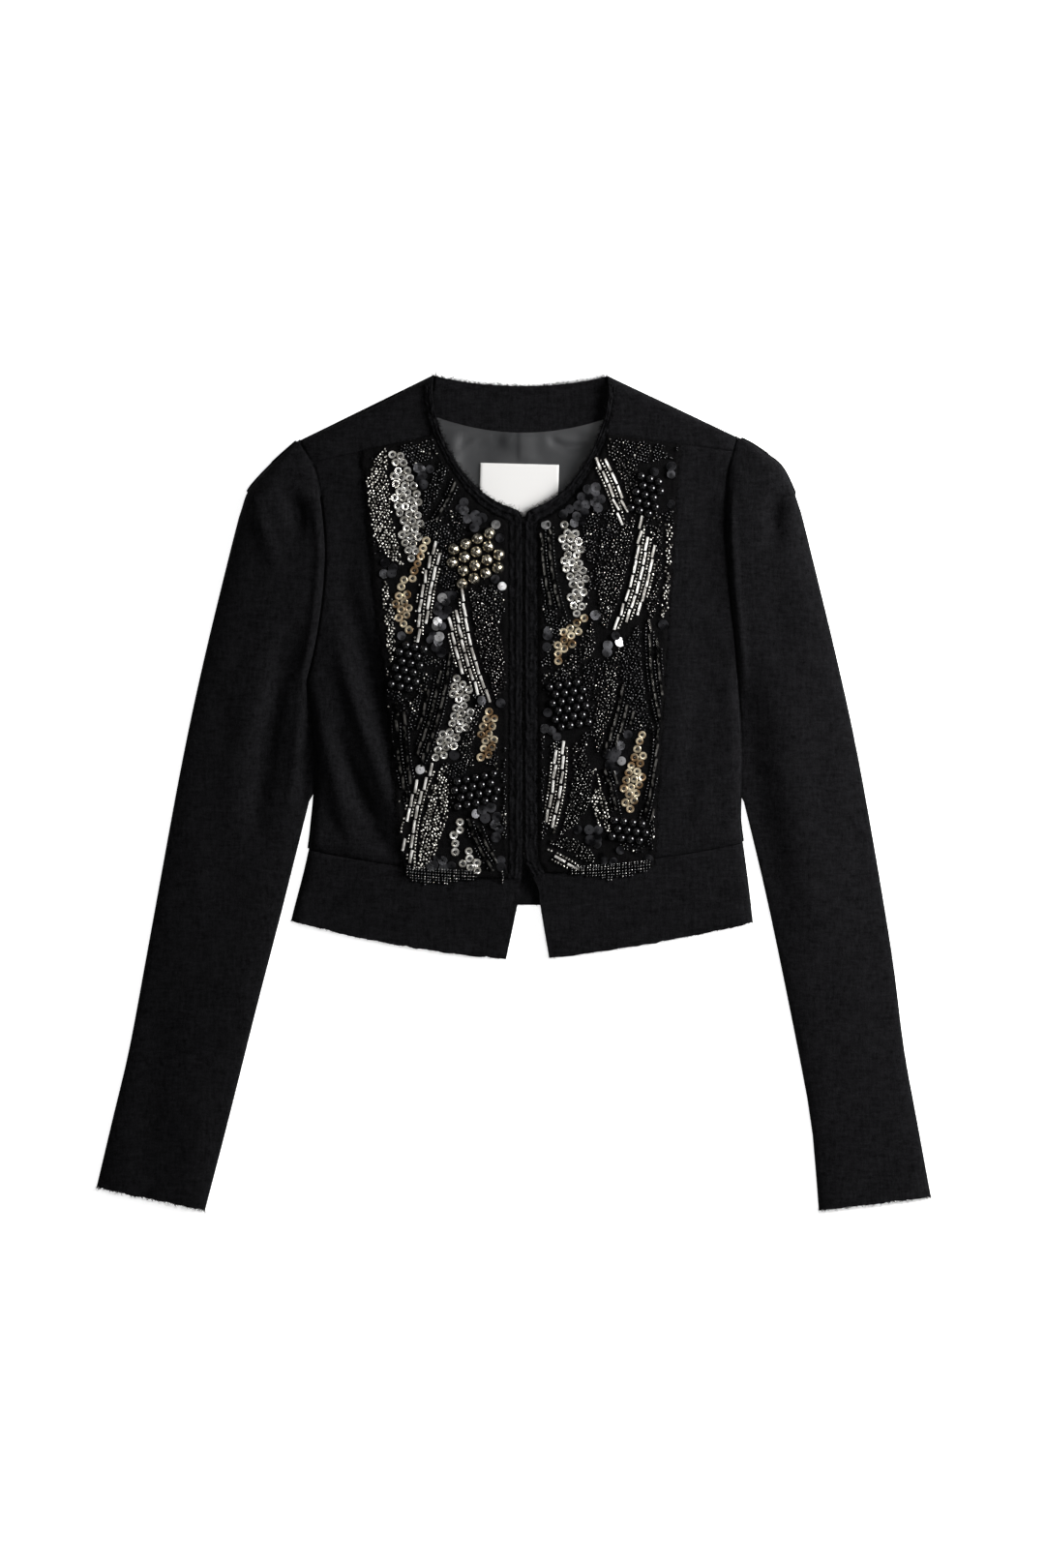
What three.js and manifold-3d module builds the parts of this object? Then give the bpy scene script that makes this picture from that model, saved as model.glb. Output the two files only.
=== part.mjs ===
// A cropped, collarless wool jacket with a beaded bib on each front, lying on its back, in millimetres.
// x runs to the viewer's right, y towards the neck and z up off the surface the jacket lies on.
// Each half is drafted as a pattern cutter would: "out" is the distance from the centre front and
// "down" the distance below the high point of the shoulder. The back, the back band and the under
// sleeves lie flat on the surface, and the fronts, the bands and the upper sleeves arch over them.
import * as THREE from "three";
import { mergeVertices } from "three/addons/utils/BufferGeometryUtils.js";
import Module from "manifold-3d";

const wasm = await Module();
wasm.setup();

// Thicknesses and gaps
const WOOL = 1.6;
const SATIN = 1.0;
const SEAM = 0.3; // between pieces that meet at a seam or lie on each other
const FRONT_RIM = WOOL + SEAM; // where an arched panel comes down on the flat one below it
const FOLD_RIM = 0.8; // where the back turns over the shoulder, inside the flat back's thickness
const FOLD_FLOOR = 0.2;

// Lengths down the body
const WAIST_AT_FRONT = 394;
const WAIST_BOW = 5.5; // how far the waist seam bows below a straight line
const BACK_NECK = { centre: 8.4, roundness: 2.2 };
const BACK_WAIST_AT_CENTRE = 388;
const BACK_HEM = { centre: 421, side: 434 };

// Heights of the arched panels
const BODY_LOFT = 7;
const HEM_LOFT = 5.8;
const LEAST_LOFT = FRONT_RIM + WOOL + SEAM;
const SEAM_HEIGHT = 6.4; // of the armhole seam
const SIDE_ROLL = 9; // how far in from the side seam the front rounds down
const SHOULDER_ROLL = 8;
const SHOULDER_SLOPE = 0.9; // distance square to the shoulder for each one straight down
const SHOULDER_TIP_ROLL = 16;
const SLEEVE_ROLL_SHARE = 0.3; // of the sleeve's width
const UNDERARM_BLEND = { from: 212, to: 262 };
const BUST = { out: 88, down: 205, halfWidth: 46, halfLength: 75, rise: 0.4 };
const TUCK = { aboveWaist: 9, width: 7, rise: 1.3, from: 90, to: 130 };
const SEAM_GROOVE = { width: 3.5, depth: 0.8 };
const FOLD_AT_ENDS = 0.35; // how much of a fold's rise is left where it ends

// The neckline and the strip of wool that edges it and the front
const NECK_BOW = 1.13; // exponent of the neckline's rounded curve
const NECK_START = 10; // how far down the neckline runs straight before it curves in
const NECK_DROP = 107;
const CORNER = { across: 5.5, down: 14 };
const FRONT_GAP = 0.5;
const EDGE_TURNS_OUT = 12; // how far above its first point the front edge leaves the centre line
const STRIP = { atNeck: 6, atFront: 10.5, thickness: 2, ridge: 0.9 };
const BIB_THICKNESS = 2;

// Everything that differs between the two halves, as measured on the jacket as it lies.
// Points are [out, down].
const HALVES = {
  left: {
    sign: -1,
    neckWidth: 72.4,
    shoulder: [[72.4, 0], [122.4, 26.2], [178.6, 52]],
    shoulderSeam: { neck: 45.4, armhole: 69.3 },
    armhole: [[178.6, 52], [164.5, 79], [157.5, 128], [158.5, 170], [164.5, 212], [172, 244]],
    side: [[172, 244], [166, 317], [168.6, 358.8], [170.9, 377.3]],
    bandSide: [[170.9, 377.3], [175.4, 397], [182, 422], [184.8, 433.5]],
    frontEdge: [[1, 392], [1.5, 398], [4.8, 421], [13.9, 464.3]],
    hemBow: 4.5,
    bibEdge: { top: 130, taper: 0.0997, from: 54.7 },
    sleeveOuter: [
      [180.6, 52.9], [197, 67.5], [211, 81.6], [219.5, 92.5], [224.5, 106], [234.9, 146.3], [255, 229.5],
      [272.6, 312.6], [298, 451.2], [313.4, 534.4], [326.5, 589.8], [339.6, 645.3],
    ],
    sleeveInner: [[170.9, 340.3], [191.7, 423.5], [213.3, 506.7], [234.1, 589.8], [253.3, 663.7]],
  },
  right: {
    sign: 1,
    neckWidth: 67.4,
    shoulder: [[67.4, 0.6], [121.7, 26.2], [170.2, 49.3]],
    shoulderSeam: { neck: 44.7, armhole: 60.5 },
    armhole: [[170.2, 49.3], [162.6, 76], [160.2, 118], [163.2, 168], [167.3, 207], [170.4, 242]],
    side: [[170.4, 242], [173.1, 300], [172.2, 350], [174.6, 371.6]],
    bandSide: [[174.6, 371.6], [177.6, 393], [180.6, 417], [182.5, 435]],
    frontEdge: [[1.5, 388], [7, 398], [12.3, 410], [13.4, 422], [20.4, 463.3]],
    hemBow: 2.5,
    bibEdge: { top: 125, taper: 0.0622, from: 53 },
    sleeveOuter: [
      [172.2, 50.2], [180.2, 53.9], [194, 63.1], [205.6, 72.9], [214.8, 90.9], [221, 109.3], [230.2, 146.3],
      [250.3, 229.5], [268, 312.6], [291.8, 451.2], [302.6, 534.4], [312.6, 589.8], [324.2, 653],
    ],
    sleeveInner: [
      [175.6, 340.3], [193.3, 414.3], [212.5, 506.7], [223.3, 562.1], [229.5, 599], [234.9, 663.7],
    ],
  },
};

// The largest folds. Each is a soft ridge, or a trough where rise is negative, along a bent line.
const BODY_FOLDS = [
  { half: "left", start: [140, 172], bend: [121, 232], end: [104, 322], width: 9, rise: -3.2 },
  { half: "left", start: [150, 214], bend: [133, 268], end: [98, 362], width: 8, rise: 2.8 },
  { half: "left", start: [146, 288], bend: [134, 332], end: [108, 376], width: 6.5, rise: -2.6 },
  { half: "left", start: [161, 270], bend: [150, 326], end: [134, 372], width: 8, rise: 2.2 },
  { half: "right", start: [146, 190], bend: [140, 270], end: [128, 352], width: 12, rise: -1.5 },
  { half: "right", start: [128, 210], bend: [122, 290], end: [118, 356], width: 9, rise: 1.2 },
];
const SLEEVE_FOLDS = [
  { half: "left", start: [186, 98], bend: [178, 108], end: [182, 126], width: 11, rise: -3.4 },
  { half: "left", start: [214, 102], bend: [203, 122], end: [199, 150], width: 9, rise: 2 },
  { half: "left", start: [190, 226], bend: [196, 280], end: [214, 340], width: 12, rise: -2.6 },
  { half: "left", start: [284, 470], bend: [300, 560], end: [318, 636], width: 14, rise: -1.6 },
  { half: "right", start: [205, 98], bend: [199, 112], end: [202, 128], width: 9, rise: -2.8 },
  { half: "right", start: [185, 240], bend: [190, 300], end: [206, 380], width: 11, rise: -2.2 },
  { half: "right", start: [262, 330], bend: [276, 450], end: [290, 560], width: 13, rise: -1.4 },
];
// The upper sleeve's height above the surface, by distance from the tip of the shoulder
const SLEEVE_LOFT = [
  { at: 0, height: 3.5 },
  { at: 14, height: 7.5 },
  { at: 34, height: 11 },
  { at: 60, height: 12.5 },
  { at: 100, height: 11 },
  { at: 170, height: 8.4 },
  { at: 260, height: 7.2 },
  { at: 640, height: 7 },
];

// The back neck facing, the lining that shows below it, and the blank label
const LINING_FADE = { beside: [4, 30], above: [25, 3], belowFacing: [-5, 11] }; // where its waves set in
const FACING = { inset: 3, centre: 45.3, rise: 12.7, at: 70, tuck: 84, tuckDown: 22, shoulderDown: 12 };
const LINING_PANEL = { width: 92, bottom: 150, wave: 1.1, waveLength: 39, slant: 0.28 };
const LABEL = { left: -34.6, right: 27.7, top: 70.5, height: 42, tilt: -0.025 };

// Round beads large enough to be solid here, in patches of staggered rows on the bibs
const PEARL_RADIUS = 3.4;
const STUD_RADIUS = 4.8;
const BEAD_SPACING = { pitch: 2.15, stagger: 0.25, rows: 0.9 }; // in radii, then in pitches
const DOME = { shoulder: 0.25, crownWidth: 0.5, crown: 0.88, sides: 6 };
const BEAD_PATCHES = [
  { half: "left", bead: "stud", out: 38, down: 146, rows: 4, columns: 4, turn: 24 },
  { half: "left", bead: "pearl", out: 92, down: 232, rows: 6, columns: 3, turn: -14 },
  { half: "left", bead: "pearl", out: 38, down: 330, rows: 4, columns: 5, turn: 12 },
  { half: "right", bead: "pearl", out: 98, down: 96, rows: 5, columns: 3, turn: 18 },
  { half: "right", bead: "pearl", out: 36, down: 262, rows: 6, columns: 4, turn: -10 },
  { half: "right", bead: "pearl", out: 84, down: 362, rows: 3, columns: 4, turn: 8 },
];

// Hooks and eyes under the front edges
const HOOKS = {
  first: 124, step: 64, count: 5,
  wire: 0.4, reach: 5, tail: 3, width: 3, overlap: 1.6, eye: 0.4,
};

const { lerp, smoothstep } = THREE.MathUtils;

// A rounded edge's height, from 0 at the edge to 1 where it levels out
function roll(distance, radius) {
  const t = THREE.MathUtils.clamp(distance / radius, 0, 1);
  return Math.sqrt(1 - (1 - t) ** 2);
}

// A line through points, measured along its length
function line(points) {
  const reached = [0];
  for (let i = 1; i < points.length; i += 1) {
    reached.push(reached[i - 1] + points[i].distanceTo(points[i - 1]));
  }
  const length = reached.at(-1);
  const at = (distance) => {
    const wanted = THREE.MathUtils.clamp(distance, 0, length);
    const i = Math.max(1, reached.findIndex((r) => r >= wanted));
    const share = (wanted - reached[i - 1]) / (reached[i] - reached[i - 1]);
    return points[i - 1].clone().lerp(points[i], share);
  };
  // The distance along the line at which it first gets that far down
  const whereDown = (down) => {
    const i = Math.max(1, points.findIndex((p) => p.y >= down));
    return lerp(reached[i - 1], reached[i], (down - points[i - 1].y) / (points[i].y - points[i - 1].y));
  };
  return { points, length, at, whereDown };
}

const point = ([out, down]) => new THREE.Vector2(out, down);
const spline = (list, steps = 60) => new THREE.SplineCurve(list.map(point)).getSpacedPoints(steps);

// How far out a line of points is at a height down the body
function outAt(points, down) {
  const i = THREE.MathUtils.clamp(points.findIndex((p) => p.y >= down), 1, points.length - 1);
  const share = (down - points[i - 1].y) / (points[i].y - points[i - 1].y || 1);
  return lerp(points[i - 1].x, points[i].x, THREE.MathUtils.clamp(share, 0, 1));
}

// How far down a line of points is at a distance out
function downAt(points, out) {
  const i = THREE.MathUtils.clamp(points.findIndex((p) => p.x >= out), 1, points.length - 1);
  return lerp(points[i - 1].y, points[i].y, (out - points[i - 1].x) / (points[i].x - points[i - 1].x));
}

// The neckline, the rounded corner at its foot and the front edge down to the hem
function innerLine(half) {
  const points = [new THREE.Vector2(half.neckWidth, half.shoulder[0][1])];
  const depth = NECK_DROP - NECK_START;
  const cornerStart = FRONT_GAP + CORNER.across;
  for (let degrees = 0; degrees < 90; degrees += 3) {
    const angle = THREE.MathUtils.degToRad(degrees);
    const out = half.neckWidth * Math.cos(angle) ** NECK_BOW;
    if (out > cornerStart + 2) {
      points.push(new THREE.Vector2(out, NECK_START + depth * Math.sin(angle) ** NECK_BOW));
    }
  }
  for (let degrees = 0; degrees <= 90; degrees += 10) {
    const angle = THREE.MathUtils.degToRad(degrees);
    points.push(
      new THREE.Vector2(
        cornerStart - CORNER.across * Math.sin(angle),
        NECK_DROP + CORNER.down * (1 - Math.cos(angle)),
      ),
    );
  }
  points.push(new THREE.Vector2(FRONT_GAP, half.frontEdge[0][1] - EDGE_TURNS_OUT));
  points.push(...spline(half.frontEdge, 24));
  return line(points);
}

// Each half's outlines, worked out once
for (const half of Object.values(HALVES)) {
  half.shoulderLine = spline(half.shoulder);
  half.armholeLine = spline(half.armhole);
  half.sideLine = spline(half.side);
  half.inner = innerLine(half);
  half.outer = line([...half.armholeLine, ...half.sideLine.slice(1)]);
  half.bandOuter = line(spline(half.bandSide));
}

// A curve from 0 at both ends to 1 in the middle, and a soft bump that fades both ways from its middle
const bow = (t) => 4 * t * (1 - t);
const bump = (t) => Math.exp(-(t ** 2));

// How far down the waist seam lies
function waistDown(half, out) {
  const t = THREE.MathUtils.clamp(out / half.side.at(-1)[0], 0, 1);
  return lerp(WAIST_AT_FRONT, half.side.at(-1)[1], t) + WAIST_BOW * bow(t);
}

// The sum of the folds at a point, from each fold's distance to it
const folds = (table) =>
  table.map((fold) => {
    const curve = new THREE.QuadraticBezierCurve(point(fold.start), point(fold.bend), point(fold.end));
    return { ...fold, samples: curve.getPoints(16) };
  });
const bodyFolds = folds(BODY_FOLDS);
const sleeveFolds = folds(SLEEVE_FOLDS);

function foldHeight(table, halfName, out, down) {
  let sum = 0;
  const here = new THREE.Vector2(out, down);
  for (const fold of table.filter((f) => f.half === halfName)) {
    let nearest = Infinity;
    let share = 0;
    fold.samples.forEach((sample, i) => {
      const distance = sample.distanceTo(here);
      if (distance < nearest) {
        nearest = distance;
        share = i / (fold.samples.length - 1);
      }
    });
    const taper = lerp(FOLD_AT_ENDS, 1, Math.sin(Math.PI * share));
    sum += fold.rise * taper * bump(nearest / fold.width);
  }
  return sum;
}

// The armhole seam's height: it comes down at the tip of the shoulder and at the underarm.
function armholeHeight(half, down) {
  const fromTip = roll(down - half.armhole[0][1] + 1, SHOULDER_TIP_ROLL);
  const fromUnderarm = 1 - smoothstep(down, UNDERARM_BLEND.from, UNDERARM_BLEND.to);
  return FRONT_RIM + (SEAM_HEIGHT - FRONT_RIM) * fromTip * fromUnderarm;
}

// The armhole, side seam or band's side that lies at a height down the body
function sideAt(half, down) {
  if (down < half.side[0][1]) return half.armholeLine;
  return down < half.side.at(-1)[1] ? half.sideLine : half.bandOuter.points;
}

// The height of the fronts' outer surface
function bodyHeight(halfName, out, down) {
  const half = HALVES[halfName];
  const waist = waistDown(half, out);
  const fromShoulder = Math.max(0, down - downAt(half.shoulderLine, out)) * SHOULDER_SLOPE;
  const rim = lerp(FOLD_RIM, FRONT_RIM, smoothstep(fromShoulder, 0, SHOULDER_ROLL));
  const fromSide = Math.max(0, outAt(sideAt(half, down), down) - out);
  const bustAcross = bump((out - BUST.out) / BUST.halfWidth);
  const bust = BUST.rise * bustAcross * bump((down - BUST.down) / BUST.halfLength);
  const tuckDown = bump((waist - down - TUCK.aboveWaist) / TUCK.width);
  const tuck = TUCK.rise * tuckDown * smoothstep(out, TUCK.from, TUCK.to);
  const groove = -SEAM_GROOVE.depth * bump((down - waist) / SEAM_GROOVE.width);
  const level = lerp(BODY_LOFT, HEM_LOFT, smoothstep(down, waist, half.frontEdge.at(-1)[1]));
  const folded = level + bust + tuck + groove + foldHeight(bodyFolds, halfName, out, down);
  const loft = Math.max(folded, LEAST_LOFT);
  const edge = down < UNDERARM_BLEND.to ? armholeHeight(half, down) : FRONT_RIM;
  const kept = Math.min(1, (edge - FRONT_RIM) / (loft - FRONT_RIM));
  const across = kept + (1 - kept) * roll(fromSide, SIDE_ROLL);
  return rim + (loft - rim) * across * roll(fromShoulder, SHOULDER_ROLL);
}

function sleeveLoft(at) {
  const i = Math.max(1, SLEEVE_LOFT.findIndex((row) => row.at >= at));
  const [a, b] = [SLEEVE_LOFT[i - 1], SLEEVE_LOFT[i]];
  return lerp(a.height, b.height, smoothstep(at, a.at, b.at));
}

// The rows before and after a row. Two rows that meet at a seam have the same ones, so that the gap
// between them stays even along the seam and through the cloth.
function neighbours(i, count, seams) {
  const before = Math.max(seams.includes(i - 1) ? i - 2 : i - 1, 0);
  const after = Math.min(seams.includes(i) ? i + 2 : i + 1, count - 1);
  return [before, after];
}

// A grid of points over a panel, with the outward normal at each
function surface(points, seams = []) {
  const rows = points.length;
  const columns = points[0].length;
  const normals = points.map((row, i) =>
    row.map((_, j) => {
      const [before, after] = neighbours(i, rows, seams);
      const along = points[after][j].clone().sub(points[before][j]);
      const across = row[Math.min(j + 1, columns - 1)].clone().sub(row[Math.max(j - 1, 0)]);
      const normal = along.cross(across).normalize();
      return normal.z < 0 ? normal.negate() : normal;
    }),
  );
  return { points, normals };
}

const range = (from, to) => Array.from({ length: to - from + 1 }, (_, i) => from + i);

// A closed wall over some rows and columns of a surface, between two distances along its normals.
// The outer distance may differ from point to point. No point of it lies below the floor given.
function wall(grid, rows, columns, inside, outside, floor = WOOL + SEAM) {
  const height = typeof outside === "function" ? outside : () => outside;
  const position = [];
  for (const top of [true, false]) {
    for (const i of rows) {
      for (const j of columns) {
        const lift = top ? height(i, j) : inside;
        const p = grid.points[i][j].clone().addScaledVector(grid.normals[i][j], lift);
        position.push(p.x, p.y, Math.max(p.z, floor));
      }
    }
  }
  const across = columns.length;
  const under = rows.length * across;
  const at = (i, j) => i * across + j;
  const index = [];
  const quad = (a, b, c, d) => index.push(a, b, c, a, c, d);
  for (let i = 0; i + 1 < rows.length; i += 1) {
    for (let j = 0; j + 1 < across; j += 1) {
      quad(at(i, j), at(i + 1, j), at(i + 1, j + 1), at(i, j + 1));
      quad(under + at(i, j), under + at(i, j + 1), under + at(i + 1, j + 1), under + at(i + 1, j));
    }
  }
  const rim = [
    ...range(0, across - 2).map((j) => at(0, j)),
    ...range(0, rows.length - 2).map((i) => at(i, across - 1)),
    ...range(1, across - 1).map((j) => at(rows.length - 1, j)).reverse(),
    ...range(1, rows.length - 1).map((i) => at(i, 0)).reverse(),
  ];
  rim.forEach((a, k) => {
    const b = rim[(k + 1) % rim.length];
    quad(a, b, under + b, under + a);
  });
  return closed(position, index);
}

// A geometry from closed faces, turned to face outwards
function closed(position, index) {
  const geometry = new THREE.BufferGeometry();
  geometry.setAttribute("position", new THREE.Float32BufferAttribute(position, 3));
  const [a, b, c] = [new THREE.Vector3(), new THREE.Vector3(), new THREE.Vector3()];
  let volume = 0;
  for (let i = 0; i < index.length; i += 3) {
    a.fromArray(position, 3 * index[i]);
    b.fromArray(position, 3 * index[i + 1]);
    c.fromArray(position, 3 * index[i + 2]);
    volume += a.dot(b.clone().cross(c));
  }
  geometry.setIndex(volume > 0 ? index : index.reverse());
  return geometry;
}

// A flat sheet of cloth, from an outline of [x, y] points
function plate(outline, bottom, thickness) {
  const shape = new THREE.Shape(outline.map(([x, y]) => new THREE.Vector2(x, y)));
  const geometry = new THREE.ExtrudeGeometry(shape, { depth: thickness, bevelEnabled: false });
  return geometry.translate(0, 0, bottom);
}

// Joins closed geometries into one
function joined(geometries) {
  const solids = geometries.map((geometry) => {
    const bare = new THREE.BufferGeometry();
    bare.setAttribute("position", geometry.getAttribute("position"));
    bare.setIndex(geometry.getIndex());
    const merged = mergeVertices(bare, 1e-3);
    return new wasm.Manifold(
      new wasm.Mesh({
        numProp: 3,
        vertProperties: new Float32Array(merged.getAttribute("position").array),
        triVerts: new Uint32Array(merged.getIndex().array),
      }),
    );
  });
  const made = solids.reduce((sum, solid) => sum.add(solid)).getMesh();
  const geometry = new THREE.BufferGeometry();
  geometry.setAttribute("position", new THREE.BufferAttribute(made.vertProperties, made.numProp));
  return geometry.setIndex(new THREE.BufferAttribute(made.triVerts, 1));
}

// Where the rows of a half's front surface start on the neckline and front edge, and end on the
// armhole, side and band. Rows come in pairs a seam apart at the shoulder seam and the waist seam.
const NECK_ROWS = 6;
const CORNER_ROWS = 3;
const FRONT_ROWS = 11;
const WEDGE_ROWS = [0, 0.05, 0.15, 0.32, 0.6, 1];
const BAND_ROWS = [0, 0.08, 0.3, 0.62, 1];
const NEAR_WAIST = 0.965;
const FRONT_ROW_COUNT = 1 + NECK_ROWS + CORNER_ROWS + FRONT_ROWS;

// The stations down the armhole and side, which the body and the sleeve share
function outerStations(half) {
  const seamAt = half.outer.whereDown(half.shoulderSeam.armhole);
  const last = half.outer.length;
  return {
    wedge: WEDGE_ROWS.map((share) => (seamAt - SEAM / 2) * share),
    front: [
      ...range(0, FRONT_ROW_COUNT - 1).map((i) =>
        lerp(seamAt + SEAM / 2, last * NEAR_WAIST, i / (FRONT_ROW_COUNT - 1)),
      ),
      last - SEAM / 2,
    ],
  };
}

function rowEnds(half) {
  const { inner, outer, bandOuter } = half;
  const stations = outerStations(half);
  const seamAt = inner.whereDown(half.shoulderSeam.neck);
  const cornerAt = inner.whereDown(NECK_DROP);
  const edgeAt = inner.whereDown(NECK_DROP + CORNER.down);
  const waistAt = inner.whereDown(WAIST_AT_FRONT);
  const steps = (from, to, count) => range(1, count).map((i) => lerp(from, to, i / count));
  const wedge = WEDGE_ROWS.map((share, i) => ({
    start: inner.at((seamAt - SEAM / 2) * share), // on the neckline
    end: outer.at(stations.wedge[i]),
    block: "wedge",
  }));
  const starts = [
    seamAt + SEAM / 2,
    ...steps(seamAt, cornerAt, NECK_ROWS),
    ...steps(cornerAt, edgeAt, CORNER_ROWS),
    ...steps(edgeAt, lerp(edgeAt, waistAt, NEAR_WAIST), FRONT_ROWS),
    waistAt - SEAM / 2,
  ];
  const front = starts.map((start, i) => ({
    start: inner.at(start),
    end: outer.at(stations.front[i]),
    block: "front",
  }));
  const band = BAND_ROWS.map((share) => ({
    start: inner.at(lerp(waistAt + SEAM / 2, inner.length, share)),
    end: bandOuter.at(lerp(SEAM / 2, bandOuter.length, share)),
    block: "band",
  }));
  return [...wedge, ...front, ...band];
}

// Columns of a front's surface: the strip with its two ridges, then a line just past it where the bib
// starts, then the bib, the rest of the front and the roll at its side
const STRIP_COLUMNS = [0, 0.25, 0.5, 0.75, 1];
const RIDGE_COLUMNS = [1, 3];
const STRIP_TOP_ROW = 2;
const BIB_COLUMNS = 5;
const PANEL_COLUMNS = 6;
const ROLL_ANGLES = [66, 42, 20, 0];
const BIB_START = STRIP_COLUMNS.length;
const BIB_END = BIB_START + BIB_COLUMNS;

function frontSurface(halfName) {
  const half = HALVES[halfName];
  const ends = rowEnds(half);
  const wedgeRows = WEDGE_ROWS.length - 1;
  const seams = range(0, ends.length - 2).filter((i) => ends[i].block !== ends[i + 1].block);
  const grid = ends.map(({ start, end, block }, i) => {
    const [before, after] = neighbours(i, ends.length, seams);
    const tangent = ends[after].start.clone().sub(ends[before].start).normalize();
    const square = new THREE.Vector2(tangent.y, -tangent.x);
    const straight = end.clone().sub(start).normalize();
    const inwards = straight.lerp(square, Math.min(1, i / wedgeRows)).normalize();
    const narrow = 1 - smoothstep(start.y, NECK_DROP - 40, NECK_DROP + 10);
    const width = lerp(STRIP.atFront, STRIP.atNeck, narrow);
    const flat = STRIP_COLUMNS.map((share) => start.clone().addScaledVector(inwards, width * share));
    flat.push(start.clone().addScaledVector(inwards, width + 2 * SEAM));
    const from = flat.at(-1);
    const run = end.clone().sub(from);
    const { top, taper, from: level } = half.bibEdge;
    const toBib = (top - taper * (from.y - level) - from.x) / (run.x + taper * run.y);
    const rollShare = Math.min(SIDE_ROLL / run.x, 0.4 * (1 - toBib));
    const shares = [
      ...range(1, BIB_COLUMNS).map((k) => (toBib * k) / BIB_COLUMNS),
      ...range(1, PANEL_COLUMNS).map((k) => lerp(toBib, 1 - rollShare, k / PANEL_COLUMNS)),
      ...ROLL_ANGLES.map((angle) => 1 - rollShare * (1 - Math.cos(THREE.MathUtils.degToRad(angle)))),
    ];
    shares.forEach((share) => flat.push(from.clone().addScaledVector(run, share)));
    const fall = block === "band" ? BAND_ROWS[i - ends.length + BAND_ROWS.length] : 0;
    const bowed = lerp(WAIST_BOW, half.hemBow, fall) * smoothstep(start.y, 290, WAIST_AT_FRONT - 1);
    flat.forEach((p) => {
      p.y += bowed * bow((p.x - start.x) / (end.x - start.x));
    });
    return flat.map((p) => new THREE.Vector3(half.sign * p.x, -p.y, bodyHeight(halfName, p.x, p.y)));
  });
  return surface(grid, seams);
}

// The upper sleeve's surface, from the tip of the shoulder to the cuff and from the outer edge to the inner.
// Its rows start at the stations that it shares with the body, and go on below the underarm.
const FREE_ROWS = 11;
const SLEEVE_COLUMNS = [0, 0.04, 0.13, 0.27, 0.42, 0.58, 0.73, 0.87, 0.96, 1];
const SIDE_GAP = 1;
const ARMHOLE_GAP = 0.45;
const ABOVE_FREE_EDGE = 10; // where the shared stations stop
const GAP_BLEND = 20; // how far above and below the underarm one gap becomes the other

function sleeveLines(half) {
  const free = line(spline(half.sleeveInner));
  const { wedge, front } = outerStations(half);
  const stations = [...wedge.slice(0, -1), ...front].map((station) => half.outer.at(station));
  const shared = stations.filter((p) => p.y < free.points[0].y - ABOVE_FREE_EDGE);
  const underarm = half.armhole.at(-1)[1];
  const beside = shared.map((p) => {
    const below = smoothstep(p.y, underarm - GAP_BLEND, underarm + GAP_BLEND);
    const gap = lerp(ARMHOLE_GAP, SIDE_GAP, below);
    return new THREE.Vector2(p.x + gap, p.y);
  });
  const hanging = range(0, FREE_ROWS).map((i) => free.at((free.length * i) / FREE_ROWS));
  return { outer: line(spline(half.sleeveOuter, 90)), inner: line([...beside, ...hanging]) };
}

function sleeveSurface(halfName) {
  const half = HALVES[halfName];
  const { outer, inner } = sleeveLines(half);
  let reached = 0;
  const grid = inner.points.map((b, row) => {
    reached += row ? b.distanceTo(inner.points[row - 1]) : 0;
    const share = reached / inner.length;
    const a = outer.at(outer.length * share);
    const edge = armholeHeight(half, b.y);
    return SLEEVE_COLUMNS.map((t) => {
      const p = a.clone().lerp(b, t);
      const fold = foldHeight(sleeveFolds, halfName, p.x, p.y) * smoothstep(share, 0.02, 0.08);
      const loft = Math.max(sleeveLoft(outer.length * share) + fold, edge + 0.5, LEAST_LOFT);
      const kept = (edge - FRONT_RIM) / (loft - FRONT_RIM);
      const outside = roll(t, SLEEVE_ROLL_SHARE);
      const inside = kept + (1 - kept) * roll(1 - t, SLEEVE_ROLL_SHARE);
      return new THREE.Vector3(half.sign * p.x, -p.y, FRONT_RIM + (loft - FRONT_RIM) * outside * inside);
    });
  });
  return surface(grid);
}

function underSleeve(half) {
  const { outer, inner } = sleeveLines(half);
  const steps = 32;
  const outside = range(0, steps).map((i) => outer.at((outer.length * i) / steps));
  const outline = [...outside, ...inner.points.slice().reverse()];
  return plate(outline.map((p) => [half.sign * p.x, -p.y]), 0, WOOL);
}

// The back lies flat, and turns over each shoulder to the seam on the front as a wedge.
// This is its outline down one half, from the neck to the waist.
function backEdge(half) {
  const { wedge, front } = outerStations(half);
  const shoulder = half.shoulderLine.filter((_, i, all) => i % 6 === 0 && i < all.length - 1);
  const down = [...wedge, ...front].map((station) => half.outer.at(station));
  return [...shoulder, ...down].map((p) => [half.sign * p.x, -p.y]);
}

function backNeckDown(x) {
  const half = x < 0 ? HALVES.left : HALVES.right;
  const t = Math.abs(x) / half.neckWidth;
  return lerp(BACK_NECK.centre, half.shoulder[0][1], t ** BACK_NECK.roundness);
}

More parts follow.
